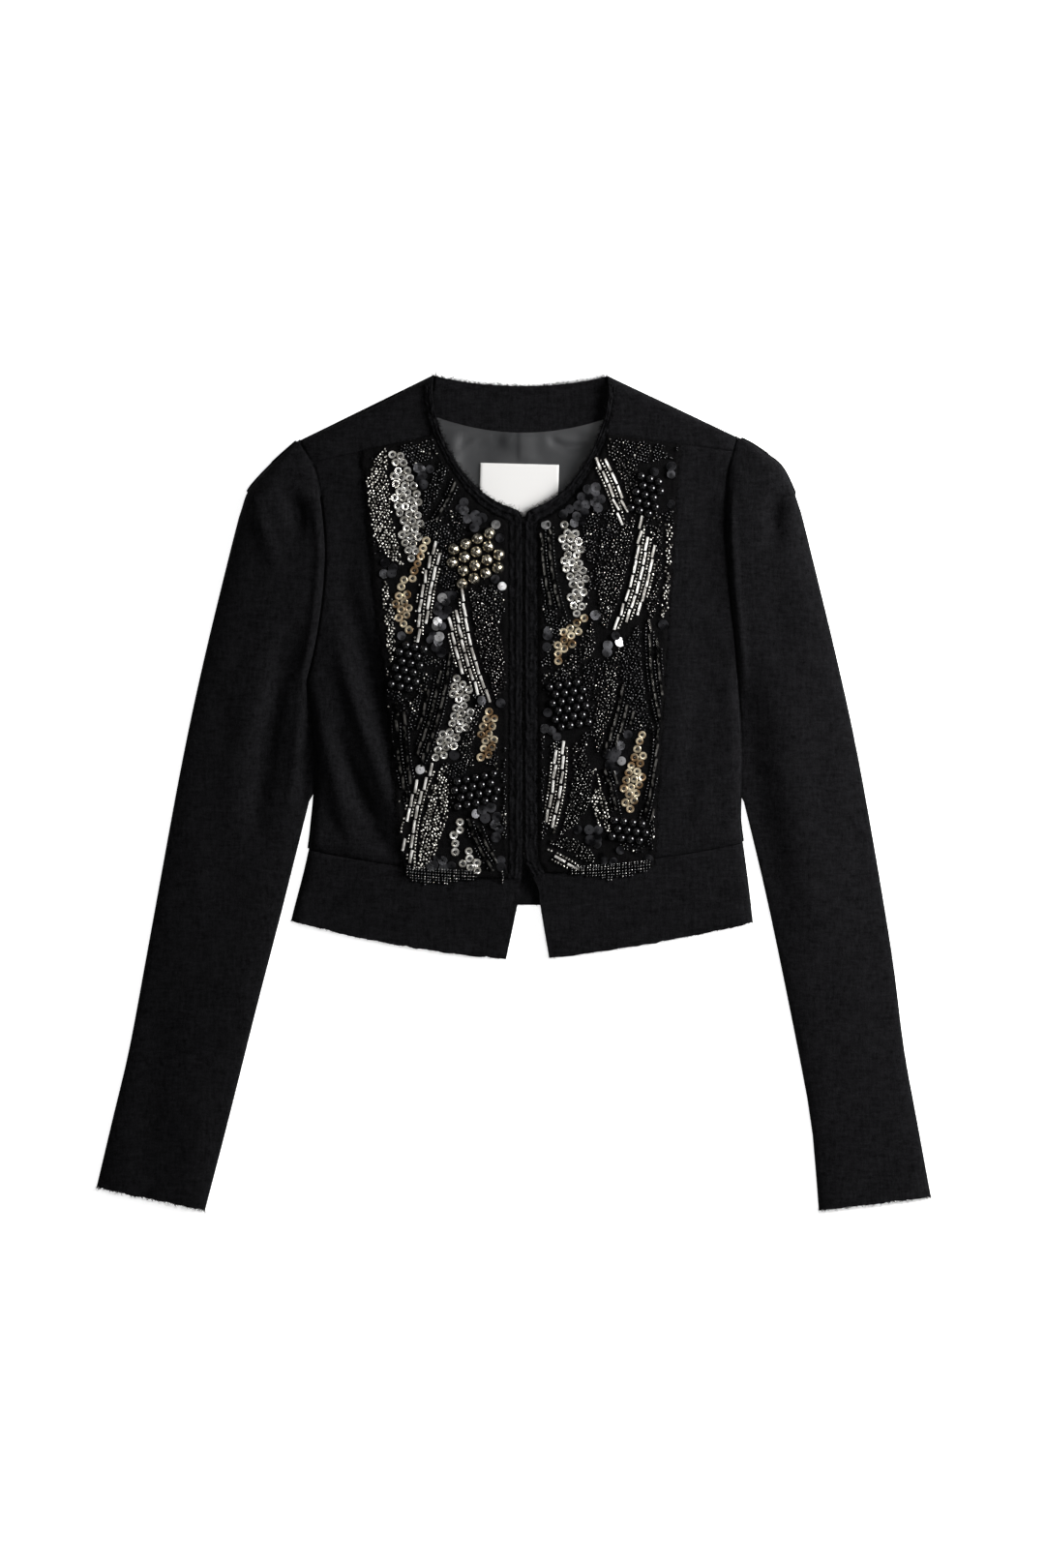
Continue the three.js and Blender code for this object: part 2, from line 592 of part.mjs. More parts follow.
function backPanel(surfaces) {
  const neck = range(1, 11).map((i) => {
    const x = lerp(HALVES.right.neckWidth, -HALVES.left.neckWidth, i / 12);
    return [x, -backNeckDown(x)];
  });
  const waist = range(1, 9).map((i) => {
    const t = i / 10;
    const [l, r] = [HALVES.left.side.at(-1), HALVES.right.side.at(-1)];
    const dip = (BACK_WAIST_AT_CENTRE - (l[1] + r[1]) / 2) * bow(t);
    return [lerp(-l[0], r[0], t), -(lerp(l[1], r[1], t) + dip)];
  });
  const outline = [...neck, ...backEdge(HALVES.left), ...waist, ...backEdge(HALVES.right).reverse()];
  const wedgeRows = range(0, WEDGE_ROWS.length - 1);
  const wedge = (grid) => wall(grid, wedgeRows, panelColumns, -WOOL, 0, FOLD_FLOOR);
  return joined([plate(outline, 0, WOOL), ...Object.values(surfaces).map(wedge)]);
}

function backBand() {
  const [l, r] = [HALVES.left, HALVES.right];
  const steps = 10;
  const top = range(0, steps).map((i) => {
    const t = i / steps;
    const [a, b] = [l.bandSide[0], r.bandSide[0]];
    const dip = (BACK_WAIST_AT_CENTRE - (a[1] + b[1]) / 2) * bow(t);
    return [lerp(-a[0], b[0], t), -(lerp(a[1], b[1], t) + dip + SEAM)];
  });
  const bottom = range(0, steps).map((i) => {
    const t = i / steps;
    const rise = (BACK_HEM.side - BACK_HEM.centre) * bow(t);
    return [lerp(r.bandSide.at(-1)[0], -l.bandSide.at(-1)[0], t), -(BACK_HEM.side - rise)];
  });
  const edge = (half) => half.bandOuter.points.slice(6, -6).filter((_, i) => i % 12 === 0);
  const right = edge(r).map((p) => [p.x, -p.y]);
  const left = edge(l).map((p) => [-p.x, -p.y]).reverse();
  return plate([...top, ...right, ...bottom, ...left], 0, WOOL);
}

const facingDown = (x) => FACING.centre - FACING.rise * (x / FACING.at) ** 2;

function facing() {
  const steps = 12;
  const { inset, tuck, tuckDown, shoulderDown } = FACING;
  const [left, right] = [-HALVES.left.neckWidth + inset, HALVES.right.neckWidth - inset];
  const top = range(0, steps).map((i) => {
    const x = lerp(left, right, i / steps);
    return [x, -backNeckDown(x) - SEAM];
  });
  const bottom = range(0, steps).map((i) => {
    const x = lerp(tuck, -tuck, i / steps);
    return [x, -facingDown(x)];
  });
  const rightEnd = [[right + 1, -shoulderDown], [tuck, -tuckDown]];
  const leftEnd = [[-tuck, -tuckDown], [left - 1, -shoulderDown]];
  return plate([...top, ...rightEnd, ...bottom, ...leftEnd], WOOL + SEAM, WOOL);
}

// The lining's top: it lies in soft waves, and flat where the label is sewn
function liningHeight(x, y) {
  const base = WOOL + SEAM + SATIN;
  const { beside, above, belowFacing } = LINING_FADE;
  const middle = (LABEL.left + LABEL.right) / 2;
  const fromLabel = Math.abs(x - middle) - (LABEL.right - middle);
  const besideLabel = smoothstep(fromLabel, ...beside);
  const aboveLabel = 1 - smoothstep(-y, LABEL.top - above[0], LABEL.top - above[1]);
  const clear = smoothstep(-y - FACING.centre, ...belowFacing);
  const { wave, waveLength, slant } = LINING_PANEL;
  const waved = 0.5 + 0.5 * Math.sin((2 * Math.PI * (x + slant * y)) / waveLength);
  return base + wave * waved * Math.min(1, besideLabel + aboveLabel) * clear;
}

function lining() {
  const [rows, columns] = [6, 12];
  const grid = range(0, rows).map((i) =>
    range(0, columns).map((j) => {
      const x = lerp(-LINING_PANEL.width, LINING_PANEL.width, j / columns);
      const y = -lerp(facingDown(Math.min(Math.abs(x), FACING.tuck)) + SEAM, LINING_PANEL.bottom, i / rows);
      return new THREE.Vector3(x, y, liningHeight(x, y));
    }),
  );
  return wall(surface(grid), range(0, rows), range(0, columns), -SATIN, 0);
}

function label() {
  const width = LABEL.right - LABEL.left;
  const geometry = new THREE.BoxGeometry(width, LABEL.height, SATIN);
  geometry.rotateZ(LABEL.tilt);
  const bottom = WOOL + SEAM + SATIN + SEAM;
  const [x, y] = [(LABEL.left + LABEL.right) / 2, -LABEL.top - LABEL.height / 2];
  return geometry.translate(x, y, bottom + SATIN / 2);
}

// Staggered rows of round beads, sunk to their middles in the bib's outer surface
function patchBeads(halfName) {
  const half = HALVES[halfName];
  return BEAD_PATCHES.filter((patch) => patch.half === halfName).flatMap((patch) => {
    const radius = patch.bead === "stud" ? STUD_RADIUS : PEARL_RADIUS;
    const pitch = radius * BEAD_SPACING.pitch;
    const stagger = BEAD_SPACING.stagger;
    const turn = THREE.MathUtils.degToRad(patch.turn);
    return range(0, patch.rows - 1).flatMap((i) =>
      range(0, patch.columns - 1).map((j) => {
        const across = (j - (patch.columns - 1) / 2 + (i % 2 ? stagger : -stagger)) * pitch;
        const along = (i - (patch.rows - 1) / 2) * pitch * BEAD_SPACING.rows;
        const out = patch.out + across * Math.cos(turn) - along * Math.sin(turn);
        const down = patch.down + across * Math.sin(turn) + along * Math.cos(turn);
        const height = bodyHeight(halfName, out, down) + SEAM + BIB_THICKNESS;
        return { x: half.sign * out, y: -down, z: height, radius };
      }),
    );
  });
}

// The half of a round bead that stands out of the bib, with its foot in the bib's cloth
function dome({ x, y, z, radius }) {
  const profile = [
    [0, -BIB_THICKNESS / 2],
    [radius, -BIB_THICKNESS / 2],
    [radius, radius * DOME.shoulder],
    [radius * DOME.crownWidth, radius * DOME.crown],
    [0, radius],
  ].map(([r, h]) => new THREE.Vector2(r, h));
  const around = new THREE.LatheGeometry(profile, DOME.sides);
  return around.rotateX(Math.PI / 2).translate(x, y, z);
}

function bib(halfName, grid, rows) {
  const base = wall(grid, rows, range(BIB_START, BIB_END), SEAM, SEAM + BIB_THICKNESS);
  const beads = patchBeads(halfName).map((bead) => dome(bead));
  return joined([base, ...beads]);
}

// A bent wire. The hooks lie under the left front and the eyes under the right one, and each hook's
// tongue passes under its eye.
function wire(points) {
  const section = new THREE.Shape(
    [45, 135, 225, 315].map((angle) => {
      const a = THREE.MathUtils.degToRad(angle);
      return new THREE.Vector2(HOOKS.wire * Math.cos(a), HOOKS.wire * Math.sin(a));
    }),
  );
  const path = new THREE.CatmullRomCurve3(points.map((p) => new THREE.Vector3(...p)));
  return new THREE.ExtrudeGeometry(section, { steps: 7, extrudePath: path, bevelEnabled: false });
}

function hook(down, z) {
  const { reach, tail, width, overlap, wire: r } = HOOKS;
  const tongue = z - 2 * r - SEAM;
  return wire([
    [-reach - tail, -down + width / 2, z],
    [-reach, -down + width / 6, z],
    [-reach / 2, -down + width / 15, tongue],
    [overlap, -down, tongue],
  ]);
}

function eye(down, z) {
  const { reach, tail, width, eye: bend } = HOOKS;
  return wire([
    [reach + tail, -down + width, z],
    [reach, -down + width / 2, z],
    [bend, -down + width / 3, z],
    [-bend, -down, z],
    [bend, -down - width / 3, z],
    [reach, -down - width / 2, z],
    [reach + tail, -down - width, z],
  ]);
}

const materials = {
  wool: new THREE.MeshStandardMaterial({ color: 0x121214, roughness: 0.95, metalness: 0 }),
  lining: new THREE.MeshStandardMaterial({ color: 0x3a3b3d, roughness: 0.45, metalness: 0 }),
  label: new THREE.MeshStandardMaterial({ color: 0xf1ede6, roughness: 0.7, metalness: 0 }),
  beadwork: new THREE.MeshStandardMaterial({ color: 0x2b2b2d, roughness: 0.25, metalness: 0.5 }),
  metal: new THREE.MeshStandardMaterial({ color: 0xb9b6b0, roughness: 0.3, metalness: 1 }),
};

const garment = new THREE.Group();

function add(name, geometry, material) {
  const mesh = new THREE.Mesh(geometry, materials[material]);
  mesh.name = name;
  garment.add(mesh);
}

const surfaces = { left: frontSurface("left"), right: frontSurface("right") };
const totalRows = surfaces.left.points.length;
const firstFront = WEDGE_ROWS.length;
const firstBand = totalRows - BAND_ROWS.length;
const bibBottomRow = firstBand + 1;
const lastColumn = surfaces.left.points[0].length - 1;
const panelColumns = [0, ...range(BIB_START - 1, lastColumn).filter((j) => j !== BIB_START)];

add("back", backPanel(surfaces), "wool");
add("band_back", backBand(), "wool");
add("neck_facing", facing(), "wool");
add("lining", lining(), "lining");
add("label", label(), "label");

for (const [name, half] of Object.entries(HALVES)) {
  const grid = surfaces[name];
  add(`front_${name}`, wall(grid, range(firstFront, firstBand - 1), panelColumns, -WOOL, 0), "wool");
  add(`band_${name}`, wall(grid, range(firstBand, totalRows - 1), panelColumns, -WOOL, 0), "wool");
  add(`bib_${name}`, bib(name, grid, range(firstFront, bibBottomRow)), "beadwork");
  const stripLift = (_, j) => SEAM + STRIP.thickness + (RIDGE_COLUMNS.includes(j) ? STRIP.ridge : 0);
  const strip = wall(grid, range(STRIP_TOP_ROW, bibBottomRow), range(0, BIB_START - 1), SEAM, stripLift);
  add(`edge_strip_${name}`, strip, "wool");
  const sleeve = sleeveSurface(name);
  const [rows, columns] = [range(0, sleeve.points.length - 1), range(0, SLEEVE_COLUMNS.length - 1)];
  add(`sleeve_${name}_upper`, wall(sleeve, rows, columns, -WOOL, 0), "wool");
  add(`sleeve_${name}_under`, underSleeve(half), "wool");
}

for (let i = 0; i < HOOKS.count; i += 1) {
  const down = HOOKS.first + i * HOOKS.step;
  const under = bodyHeight("left", HOOKS.reach - 1, down) - WOOL - SEAM - HOOKS.wire;
  add(`hook_${i + 1}`, hook(down, under), "metal");
  add(`eye_${i + 1}`, eye(down, under), "metal");
}

// The origin is the middle of the jacket's box, on the surface it lies on.
const box = new THREE.Box3().setFromObject(garment);
garment.position.set(-(box.min.x + box.max.x) / 2, -(box.min.y + box.max.y) / 2, 0);

const jacket = new THREE.Group();
jacket.add(garment);

export default jacket;
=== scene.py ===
"""The looks of a cropped wool jacket with a beaded bib on each front, laid flat and seen from above.

Sizes in the tables are in millimetres. Each half is drafted as its pattern: "out" is the distance
from the centre front and "down" the distance below the high point of the shoulder.
"""
import math
from collections import namedtuple

import bpy
import numpy as np
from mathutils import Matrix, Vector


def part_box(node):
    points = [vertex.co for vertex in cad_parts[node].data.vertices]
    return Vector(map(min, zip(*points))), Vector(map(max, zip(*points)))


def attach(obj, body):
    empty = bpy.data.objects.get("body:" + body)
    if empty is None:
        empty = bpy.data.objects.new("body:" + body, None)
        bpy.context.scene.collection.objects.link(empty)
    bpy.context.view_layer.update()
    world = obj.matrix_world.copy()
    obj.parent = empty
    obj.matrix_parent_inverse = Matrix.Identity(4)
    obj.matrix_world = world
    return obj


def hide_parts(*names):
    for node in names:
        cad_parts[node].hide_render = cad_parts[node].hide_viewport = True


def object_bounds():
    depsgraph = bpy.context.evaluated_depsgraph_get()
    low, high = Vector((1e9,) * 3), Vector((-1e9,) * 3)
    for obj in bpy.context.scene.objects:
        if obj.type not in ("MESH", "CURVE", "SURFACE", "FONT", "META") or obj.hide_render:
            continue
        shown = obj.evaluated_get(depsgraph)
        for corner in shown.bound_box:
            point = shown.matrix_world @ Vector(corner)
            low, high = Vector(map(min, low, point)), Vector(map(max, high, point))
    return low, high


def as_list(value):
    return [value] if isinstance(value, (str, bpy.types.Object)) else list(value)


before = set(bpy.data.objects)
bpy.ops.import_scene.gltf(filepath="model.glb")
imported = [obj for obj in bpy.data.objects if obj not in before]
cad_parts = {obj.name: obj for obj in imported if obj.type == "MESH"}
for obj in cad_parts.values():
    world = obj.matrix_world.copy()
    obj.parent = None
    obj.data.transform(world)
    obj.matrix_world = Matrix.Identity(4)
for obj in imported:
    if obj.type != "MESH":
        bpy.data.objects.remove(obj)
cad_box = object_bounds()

MM = 0.001

# The photograph's frame, which is the image that the camera covers
IMAGE = {"width": 1080, "height": 1620}
MM_PER_PIXEL = 0.77
CENTRE_FRONT_PIXEL = 541
SHOULDER_PIXEL = 388

# Thicknesses and gaps
WOOL = 1.6
SATIN = 1.0
SEAM = 0.3
RIM = WOOL + SEAM
SLEEVE_GAP = 0.45
UNDER_SLEEVE_REACH = 0.7
FOLD_RIM = 0.8
LEAST_WALL = 0.05
BIB_THICKNESS = 2.0
BORDER = {
    "lift": 1.45, "at_edge": 0.55, "roll": 2.0, "ridge": 0.35, "ridge_at": 3.2, "ridge_width": 1.4,
    "torn_from": 0.93,
}

# Lengths down the body
WAIST_AT_FRONT = 394
WAIST_BOW = 5.5
BACK_NECK = {"centre": 8.4, "roundness": 2.2}
BACK_WAIST_AT_CENTRE = 388
BACK_CUT = (353, 450)

# Heights of the arched panels
BODY_LOFT = 7
HEM_LOFT = 5.8
LEAST_LOFT = RIM + 0.8
SEAM_HEIGHT = 6.4
SIDE_ROLL = 9
SHOULDER_ROLL = 8
SLEEVE_ROLL_SHARE = 0.3
UNDERARM_BLEND = (212, 262)
BUST = {"out": 88, "down": 205, "half_width": 46, "half_length": 75, "rise": 0.4}
TUCK = {"above": 9, "width": 7, "rise": 1.3, "start": 90, "end": 130}
GROOVE = {"width": 3.5, "depth": 0.8}
SHOULDER_SLOPE = 0.9
TIP = {"above": 1, "roll": 16}
SETTLED = (2, 14)
MOST_SIDE_ROLL = 0.4
HEM_BOW_START = 290

# The neckline, its corner at the front, and the strip along both
NECK_BOW = 1.13
NECK_START = 10
NECK_DROP = 107
CORNER = {"across": 5.5, "down": 14}
FRONT_GAP = 0.5
STRIP = {
    "at_neck": 6, "at_front": 10.5, "widens": (67, 117), "lift": 1.3, "edge_drop": 0.5, "fuzz_across": 10,
}
UPPER_STRIP = {"start": (0.04, 0.1), "end": (0.5, 0.6), "lift": 0.7}
# Ridges along a strip: place and width as shares of it, and rise
STRIP_RIDGES = [(0.16, 0.08, 0.25), (0.44, 0.07, 0.15), (0.84, 0.1, 0.25)]

HALVES = {
    "left": {
        "sign": -1,
        "neck_width": 72.4,
        "shoulder": [(72.4, 0), (122.4, 26.2), (178.6, 52)],
        "shoulder_seam": {"neck": 45.4, "armhole": 69.3},
        "armhole": [(178.6, 52), (164.5, 79), (157.5, 128), (158.5, 170), (164.5, 212), (172, 244)],
        "side": [(172, 244), (166, 317), (168.6, 358.8), (170.9, 377.3)],
        "band_side": [(170.9, 377.3), (175.4, 397), (182, 422), (184.8, 433.5)],
        "front_edge": [(1, 392), (1.5, 398), (4.8, 421), (13.9, 464.3)],
        "hem_bow": 4.5,
        "bib_edge": {"top": 130, "taper": 0.0997, "level": 54.7},
        "sleeve_outer": [
            (180.6, 52.9), (197, 67.5), (211, 81.6), (219.5, 92.5), (224.5, 106), (234.9, 146.3),
            (255, 229.5), (272.6, 312.6), (298, 451.2), (313.4, 534.4), (326.5, 589.8), (339.6, 645.3),
        ],
        "sleeve_inner": [(170.9, 340.3), (191.7, 423.5), (213.3, 506.7), (234.1, 589.8), (253.3, 663.7)],
    },
    "right": {
        "sign": 1,
        "neck_width": 67.4,
        "shoulder": [(67.4, 0.6), (121.7, 26.2), (170.2, 49.3)],
        "shoulder_seam": {"neck": 44.7, "armhole": 60.5},
        "armhole": [(170.2, 49.3), (162.6, 76), (160.2, 118), (163.2, 168), (167.3, 207), (170.4, 242)],
        "side": [(170.4, 242), (173.1, 300), (172.2, 350), (174.6, 371.6)],
        "band_side": [(174.6, 371.6), (177.6, 393), (180.6, 417), (182.5, 435)],
        "front_edge": [(1.5, 388), (7, 398), (12.3, 410), (13.4, 422), (20.4, 463.3)],
        "hem_bow": 2.5,
        "bib_edge": {"top": 125, "taper": 0.0622, "level": 53},
        "sleeve_outer": [
            (172.2, 50.2), (180.2, 53.9), (194, 63.1), (205.6, 72.9), (214.8, 90.9), (221, 109.3),
            (230.2, 146.3), (250.3, 229.5), (268, 312.6), (291.8, 451.2), (302.6, 534.4),
            (312.6, 589.8), (324.2, 653),
        ],
        "sleeve_inner": [
            (175.6, 340.3), (193.3, 414.3), (212.5, 506.7), (223.3, 562.1), (229.5, 599), (234.9, 663.7),
        ],
    },
}

# Folds: half, start, bend, end, width, rise. The first ones are the part's own, the rest are finer.
BODY_FOLDS = [
    ("left", (142, 168), (122, 228), (103, 322), 8.5, -5),
    ("left", (152, 206), (134, 266), (98, 362), 7.5, 5),
    ("left", (147, 284), (134, 332), (108, 376), 6, -4.5),
    ("left", (161, 262), (151, 326), (136, 372), 8, 4),
    ("right", (146, 190), (140, 270), (128, 352), 12, -1.5),
    ("right", (128, 210), (122, 290), (118, 356), 9, 1.2),
    ("left", (135, 100), (141, 140), (139, 176), 9, -0.9),
    ("left", (154, 196), (148, 236), (140, 270), 5, -0.8),
    ("left", (128, 346), (118, 358), (108, 366), 4, 0.9),
    ("left", (160, 340), (150, 356), (142, 370), 4.5, -0.8),
    ("right", (140, 80), (146, 130), (143, 180), 10, -0.8),
    ("right", (158, 220), (154, 280), (150, 340), 7, -0.7),
    ("right", (150, 330), (142, 350), (132, 364), 5, 0.7),
]
SLEEVE_FOLDS = [
    ("left", (188, 96), (176, 106), (180, 128), 8, -6.5),
    ("left", (216, 98), (205, 120), (199, 150), 7, 3.5),
    ("left", (184, 206), (205, 280), (212, 356), 9, -6),
    ("left", (284, 470), (300, 560), (306, 650), 14, -2.2),
    ("right", (206, 94), (196, 108), (200, 130), 8, -5),
    ("right", (174, 246), (178, 325), (204, 440), 18, -5),
    ("right", (204, 236), (212, 330), (236, 450), 20, 3.4),
    ("right", (262, 330), (276, 450), (290, 560), 13, -1.4),
    ("left", (202, 196), (226, 280), (232, 360), 12, 2.2),
    ("left", (170, 222), (178, 275), (186, 345), 5, 3),
    ("left", (167, 262), (169, 300), (175, 338), 6, -7),
    ("left", (182, 300), (196, 312), (212, 318), 5, -0.9),
    ("left", (248, 240), (240, 262), (238, 290), 8, -0.9),
    ("left", (238, 440), (252, 448), (268, 450), 6, 0.8),
    ("left", (230, 528), (246, 540), (268, 544), 6, -0.8),
    ("left", (262, 380), (256, 410), (258, 440), 8, 0.7),
    ("left", (264, 560), (264, 610), (262, 660), 15, 1.5),
    ("right", (182, 300), (194, 312), (210, 318), 5, 0.9),
    ("right", (196, 150), (204, 190), (206, 240), 9, -0.9),
    ("right", (232, 400), (244, 412), (262, 416), 6, -0.8),
    ("right", (240, 520), (256, 530), (276, 532), 6, 0.8),
    ("right", (248, 290), (250, 330), (254, 370), 8, 0.7),
]
# The ridge of the turned-in cloth on the sleeve, beside the armhole seam
SEAM_RIDGE = {"at": 5, "width": 3.6, "rise": 2.2, "start": (80, 130), "end": (215, 265)}
# The upper sleeve's height, by distance from the tip of the shoulder
SLEEVE_LOFT_AT = np.array([0, 14, 34, 60, 100, 170, 260, 640])
SLEEVE_LOFT = np.array([3.5, 7.5, 11, 12.5, 11, 8.4, 7.2, 7])

SLEEVE = {"row_bias": 1.15, "even_columns": 0.4, "folds_start": (0.02, 0.08), "over_seam": 0.5}

# Inside the neck
FACING_EDGE = {"centre": 45.3, "rise": 12.7, "at": 70, "tuck": 84}
LINING = {"width": 92, "bottom": 150, "wave": 1.1, "wave_length": 39, "slant": 0.28, "pleat": -4}
LINING_FOLDS = [
    ("right", (22, 50), (30, 62), (50, 56), 3.2, -1.7),
    ("right", (38, 72), (48, 68), (60, 58), 3.6, 1.6),
    ("right", (40, 46), (50, 50), (64, 46), 3.5, -1.2),
    ("left", (34, 50), (48, 58), (62, 78), 3.4, 1.3),
    ("left", (18, 52), (28, 60), (36, 70), 4.5, -0.9),
]
LABEL = {"left": -34.6, "right": 27.7, "top": 70.5, "height": 42, "tilt": -0.025}
LABEL_MIDDLE = (LABEL["left"] + LABEL["right"]) / 2

# Large round beads, which the part has as domes
LARGE_RADIUS = {"pearl": 3.4, "stud": 4.8}
LARGE_PITCH = 2.15
BEAD_PATCHES = [
    ("left", "stud", 38, 146, 4, 4, 24),
    ("left", "pearl", 92, 232, 6, 3, -14),
    ("left", "pearl", 38, 330, 4, 5, 12),
    ("right", "pearl", 98, 96, 5, 3, 18),
    ("right", "pearl", 36, 262, 6, 4, -10),
    ("right", "pearl", 84, 362, 3, 4, 8),
]

# Embroidered leaves: half, out, down, length, width, turn, bend, and what fills either side of the vein
Leaf = namedtuple("Leaf", "half out down length width turn bend inner outer")
LEAVES = [
    ("left", 100, 104, 98, 44, -8, 4, "cups", "seeds_silver"),
    ("left", 34, 214, 90, 42, -14, 4, "seeds_grey", "bugles"),
    ("left", 66, 268, 92, 40, 15, -4, "cups", "bugles_dark"),
    ("left", 66, 88, 60, 26, 24, -3, "bugles_dark", "seeds_black"),
    ("left", 80, 172, 86, 34, 10, 5, "bugles", "cups_gold"),
    ("left", 100, 300, 84, 34, -6, 4, "bugles_dark", "seeds_silver"),
    ("left", 34, 286, 54, 32, 10, 3, "cups_gold", "seeds_grey"),
    ("left", 76, 352, 84, 40, 12, 5, "seeds_silver", "bugles"),
    ("left", 38, 374, 48, 34, -26, 3, "bugles_dark", "cups"),
    ("left", 110, 196, 70, 22, -5, 3, "seeds_silver", "bugles_dark"),
    ("left", 100, 372, 44, 20, -4, 2, "bugles", "seeds_grey"),
    ("right", 78, 158, 94, 42, -14, 5, "seeds_grey", "bugles"),
    ("right", 74, 88, 74, 32, 22, 4, "bugles", "seeds_grey"),
    ("right", 34, 154, 82, 40, 8, -4, "bugles_dark", "cups"),
    ("right", 108, 156, 82, 30, -4, 3, "seeds_grey", "seeds_silver"),
    ("right", 100, 240, 88, 38, 7, -4, "seeds_black", "bugles_dark"),
    ("right", 32, 328, 78, 38, -8, 4, "bugles", "seeds_grey"),
    ("right", 70, 258, 88, 32, -12, 4, "seeds_grey", "bugles_dark"),
    ("right", 94, 320, 78, 38, -10, 3, "cups_gold", "bugles_dark"),
    ("right", 38, 214, 50, 30, -34, 3, "cups_gold", "seeds_grey"),
    ("right", 64, 338, 62, 28, 14, 3, "seeds_silver", "bugles_dark"),
    ("right", 38, 384, 46, 26, 60, 2, "bugles", "seeds_grey"),
]
LEAVES = [Leaf(*leaf) for leaf in LEAVES]
LEAF_FULLNESS = 0.62
VEIN = 1.0
LINE_PITCH = 3.1
LINE_SHIFT = 3.7
# Strings of seed beads that hang past each bib's lower edge
STRANDS = {"count": 34, "bead": 2.1, "above": 5, "reach": 9, "seed": 83}

# Unevenness, as layers of smooth noise: how much, the size of its features, and its seed
UNEVEN = {
    "body": [(0.22, 26, 3)],
    "sleeve": [(0.25, 30, 5)],
    "band": [(0.25, 17, 8)],
    "raw_edge": [(0.7, 7, 71), (0.5, 2.5, 72)],
    "bib": [(0.35, 5, 21), (0.25, 2.3, 22)],
    "bib_edge": [(1.5, 7, 24), (0.7, 2.6, 25)],
    "strip": [(0.65, 2.6, 33), (0.45, 1.3, 34)],
    "strip_lines": [(0.05, 14, 31)],
    "lining": [(0.9, 9, 41)],
    "label": [(0.5, 22, 51)],
    "patches": [(1, 30, 61)],
    "streaks": [(1, 9, 63)],
    # where the paillettes get painted glints
    "lit": [(1, 34, 65)],
    "strands": [(1, 17, 96)],
    "sway": [(0.6, 5, 82)],
}

BEAD_SEED = 20
random = np.random.default_rng(BEAD_SEED)


def smoothstep(x, low, high):
    t = np.clip((x - low) / (high - low), 0, 1)
    return t * t * (3 - 2 * t)


def mix(a, b, t):
    return a + (b - a) * t


def stack(*coordinates):
    """Points from their coordinates, each a number or an array of them."""
    return np.stack(np.broadcast_arrays(*coordinates), axis=-1)


def turned(x, y, angle):
    cos, sin = math.cos(angle), math.sin(angle)
    return x * cos - y * sin, x * sin + y * cos


def bow(t):
    return 4 * t * (1 - t)


def bump(t):
    return np.exp(-(t ** 2))


def roll(distance, radius):
    """A rounded edge's height, from 0 at the edge to 1 where it levels out."""
    return np.sqrt(1 - (1 - np.clip(distance / radius, 0, 1)) ** 2)


def unit(v):
    return v / np.maximum(np.linalg.norm(v, axis=-1, keepdims=True), 1e-9)


def steps_along(points, axis):
    """The distances between neighbouring points of a line or a grid."""
    return np.linalg.norm(np.diff(points, axis=axis), axis=-1)


def spline(points, steps=60):
    """A smooth curve through points, as equally spaced points."""
    p = np.asarray(points, float)
    last = len(p) - 1
    t = np.linspace(0, last, 600)
    i = np.minimum(t.astype(int), last - 1)
    w = (t - i)[:, None]
    before, a, b, after = p[np.maximum(i - 1, 0)], p[i], p[i + 1], p[np.minimum(i + 2, last)]
    v0, v1 = (b - before) / 2, (after - a) / 2
    curve = (2 * a - 2 * b + v0 + v1) * w**3 + (-3 * a + 3 * b - 2 * v0 - v1) * w**2 + v0 * w + a
    return Line(curve).at(np.linspace(0, Line(curve).length, steps + 1))


class Line:
    """A line through points, measured along its length."""

    def __init__(self, points):
        self.points = np.asarray(points, float)
        self.reached = np.concatenate([[0], np.cumsum(steps_along(self.points, 0))])
        self.length = self.reached[-1]

    def at(self, distance, values=None):
        """The line's points, or other values known at those points, at distances along it."""
        known = self.points if values is None else values
        return stack(*(np.interp(distance, self.reached, c) for c in known.T))

    def where_down(self, down):
        return float(np.interp(down, self.points[:, 1], self.reached))

    def tangent(self, distance, reach=2.0):
        return unit(self.at(distance + reach) - self.at(distance - reach))


def inner_line(half):
    """The neckline, the rounded corner at its foot and the front edge down to the hem."""
    depth, corner_start = NECK_DROP - NECK_START, FRONT_GAP + CORNER["across"]
    neck = np.radians(np.arange(0, 90, 1.5))
    out = half["neck_width"] * np.cos(neck) ** NECK_BOW
    down = NECK_START + depth * np.sin(neck) ** NECK_BOW
    kept = out > corner_start + 2
    turn = np.radians(np.arange(0, 91, 10))
    corner_out = corner_start - CORNER["across"] * np.sin(turn)
    corner_down = NECK_DROP + CORNER["down"] * (1 - np.cos(turn))
    points = [
        [(half["neck_width"], half["shoulder"][0][1])],
        stack(out[kept], down[kept]),
        stack(corner_out, corner_down),
        [(FRONT_GAP, half["front_edge"][0][1] - 12)],
        spline(half["front_edge"], 24),
    ]
    return Line(np.concatenate(points))


LEFT, RIGHT = HALVES.values()
for half in (LEFT, RIGHT):
    half["shoulder_line"] = spline(half["shoulder"])
    half["armhole_line"] = spline(half["armhole"])
    half["side_line"] = spline(half["side"])
    half["inner"] = inner_line(half)
    half["outer"] = Line(np.concatenate([half["armhole_line"], half["side_line"][1:]]))
    half["band_outer"] = Line(spline(half["band_side"]))
    whole = np.concatenate([half["outer"].points, half["band_outer"].points[1:]])
    half["whole_side"] = whole


